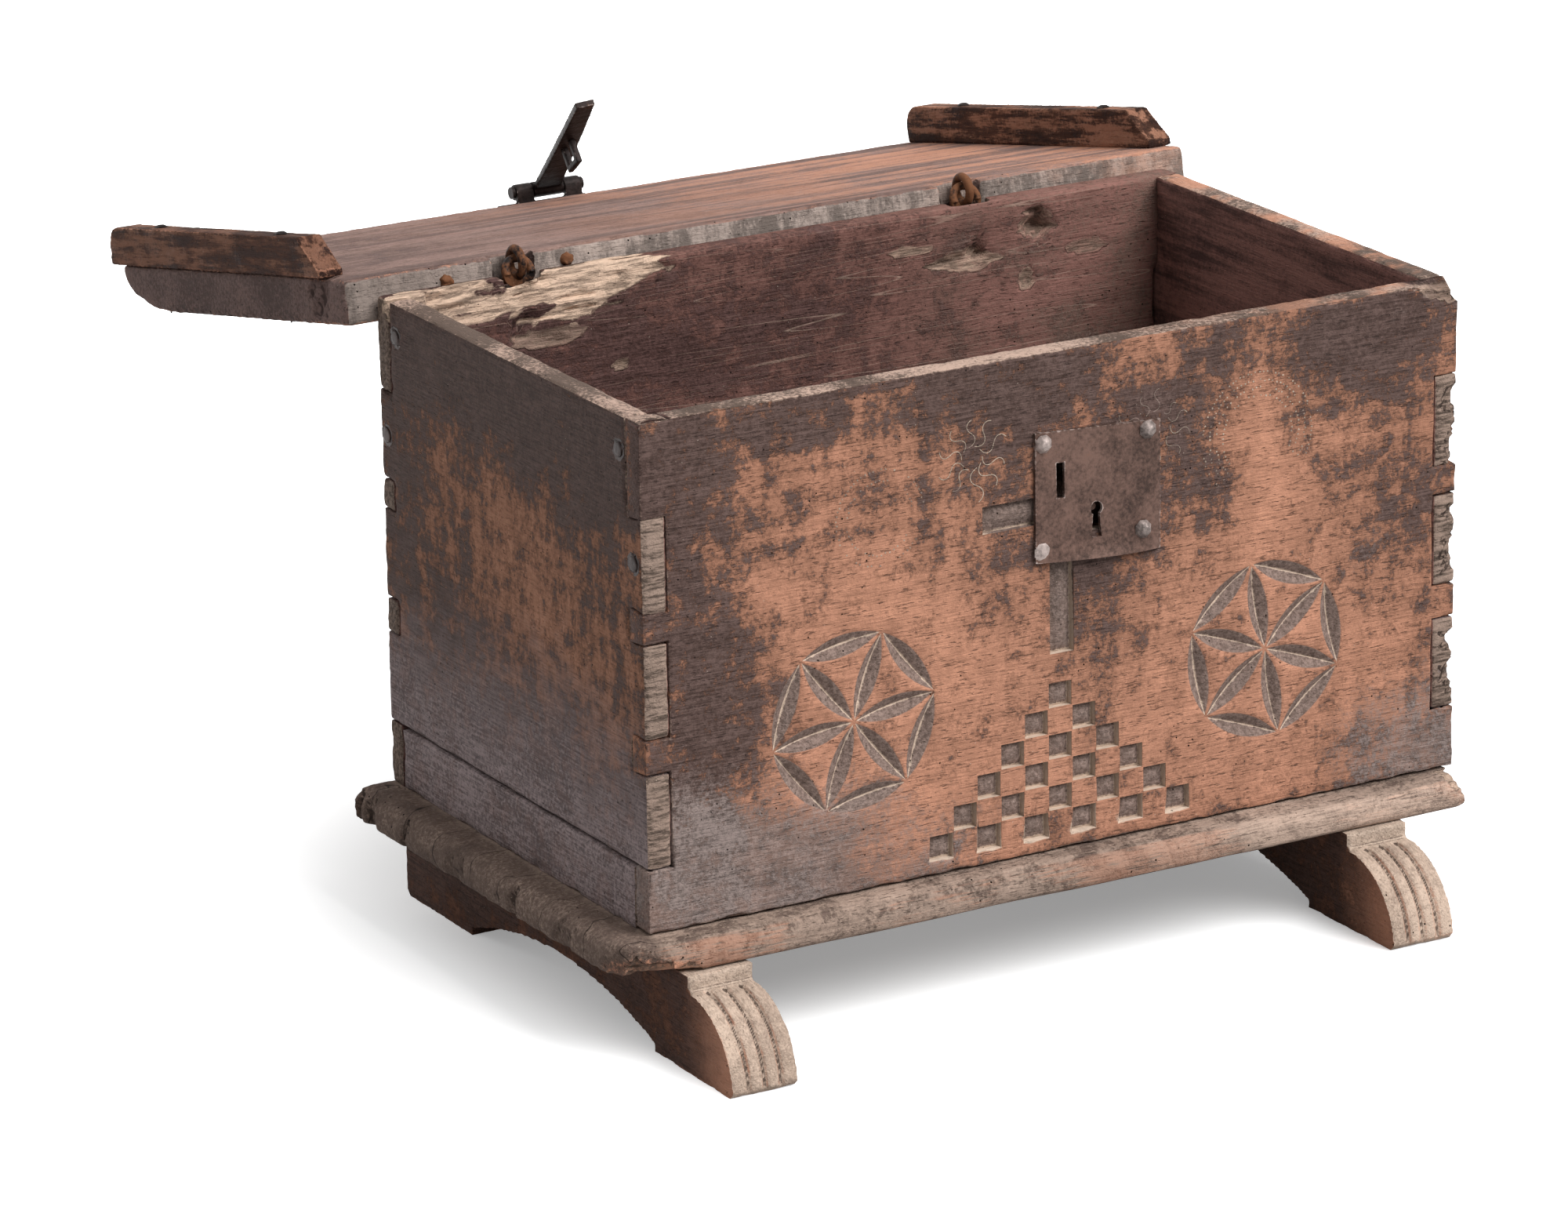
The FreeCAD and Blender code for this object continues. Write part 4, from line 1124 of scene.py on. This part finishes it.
def camera_rays(tree):
    """1 for the rays by which the background is seen, 0 for those that light the chest."""
    rays = tree.nodes.new("ShaderNodeLightPath")
    seen = rays.outputs["Is Camera Ray"]
    for name in ("Is Glossy Ray", "Is Transmission Ray"):
        either = tree.nodes.new("ShaderNodeMath")
        either.operation = "MAXIMUM"
        tree.links.new(seen, either.inputs[0])
        tree.links.new(rays.outputs[name], either.inputs[1])
        seen = either.outputs[0]
    return seen


def between(tree, factor, low, high):
    """Value that goes from low to high as the factor goes from 0 to 1."""
    level = tree.nodes.new("ShaderNodeMapRange")
    level.inputs["To Min"].default_value = low
    level.inputs["To Max"].default_value = high
    tree.links.new(factor, level.inputs["Value"])
    return level.outputs[0]


def add_sun(name, energy, spread, direction):
    """Soft sun from a direction."""
    lamp = bpy.data.lights.new(name, "SUN")
    lamp.energy = energy
    lamp.angle = spread
    sun = bpy.data.objects.new(name, lamp)
    sun.rotation_mode = "QUATERNION"
    sun.rotation_quaternion = Vector(direction).to_track_quat("Z", "Y")
    bpy.context.scene.collection.objects.link(sun)


class CHEST_OT_stage(bpy.types.Operator):
    """Sets the floor, the light and the camera"""
    bl_idname = "chest.stage"
    bl_label = "Stage"

    def execute(self, context):
        scene = context.scene
        stage = scene.chest_stage
        scene.view_settings.view_transform = "Standard"
        self.floor(stage)
        self.sky(scene, stage)
        add_sun("soft sun", stage.sun, stage.spread, stage.sun_from)
        x, y, z = stage.sun_from
        add_sun("back fill", stage.fill, stage.spread, (-x, -y, z))
        camera_data = bpy.data.cameras.new("camera")
        camera_data.lens = stage.lens
        camera_data.clip_end = 100.0
        camera = bpy.data.objects.new("camera", camera_data)
        camera.location = stage.eye
        camera.rotation_mode = "QUATERNION"
        aim = (Vector(stage.target) - Vector(stage.eye)).to_track_quat("-Z", "Y")
        camera.rotation_quaternion = aim @ Quaternion((0.0, 0.0, 1.0), stage.roll)
        scene.collection.objects.link(camera)
        scene.camera = camera
        return {"FINISHED"}

    def floor(self, stage):
        """Wide pale floor that keeps the shadow of the chest."""
        bm = bmesh.new()
        bmesh.ops.create_grid(bm, x_segments=1, y_segments=1, size=30.0)
        f = Finish("pale floor")
        seen = camera_rays(f.tree)
        away = f.ramp(f.patch((0.06, -0.08, 0.0), (0.54, 0.46, 1.0)), 0.45, 0.08)
        diffuse = f.add("BsdfDiffuse", 0, {"Color": between(f.tree, seen, stage.bounce, 0.95)})
        strength = f.times(seen, f.plus(stage.glow, f.times(away, stage.glow_far)))
        glow = f.add("Emission", 0, {"Strength": strength})
        both = f.add("AddShader", 0, {0: diffuse, 1: glow})
        f.tree.nodes.remove(f.shader)
        f.tree.links.new(both, f.tree.nodes["Material Output"].inputs["Surface"])
        link_piece("floor", bm, f.material)

    def sky(self, scene, stage):
        """Even pale light all round, white where it is seen."""
        world = bpy.data.worlds.new("sky")
        world.use_nodes = True
        scene.world = world
        tree = world.node_tree
        background = tree.nodes["Background"]
        background.inputs["Color"].default_value = (1.0, 1.0, 1.0, 1.0)
        tree.links.new(between(tree, camera_rays(tree), stage.sky, 1.0), background.inputs["Strength"])


OPERATORS = (
    CHEST_OT_stage, CHEST_OT_front, CHEST_OT_marks, CHEST_OT_back, CHEST_OT_ends, CHEST_OT_base,
    CHEST_OT_feet, CHEST_OT_lid, CHEST_OT_iron, CHEST_OT_lock,
)
GROUPS = {
    "chest_wood": ChestWood,
    "chest_iron": ChestIron,
    "chest_wear": ChestWear,
    "chest_stage": ChestStage,
}


class CHEST_PT_panel(bpy.types.Panel):
    """Lists the pieces of the chest and what can be changed"""
    bl_idname = "CHEST_PT_panel"
    bl_label = "Carved chest"
    bl_space_type = "VIEW_3D"
    bl_region_type = "UI"
    bl_category = "Chest"

    def draw(self, context):
        for operator in OPERATORS:
            self.layout.operator(operator.bl_idname)
        for name, group in GROUPS.items():
            for key in group.__annotations__:
                self.layout.prop(getattr(context.scene, name), key)


def register():
    """Registers the settings, the operators and the panel."""
    for name, group in GROUPS.items():
        bpy.utils.register_class(group)
        setattr(bpy.types.Scene, name, PointerProperty(type=group))
    for kind in (*OPERATORS, CHEST_PT_panel):
        bpy.utils.register_class(kind)


def unregister():
    """Takes the panel, the operators and the settings away."""
    for kind in (CHEST_PT_panel, *OPERATORS[::-1]):
        bpy.utils.unregister_class(kind)
    for name, group in GROUPS.items():
        delattr(bpy.types.Scene, name)
        bpy.utils.unregister_class(group)


def main():
    """Makes the chest and its stage."""
    noise.seed_set(1)
    register()
    for operator in OPERATORS:
        module, name = operator.bl_idname.split(".")
        getattr(getattr(bpy.ops, module), name)()


if __name__ == "__main__":
    main()
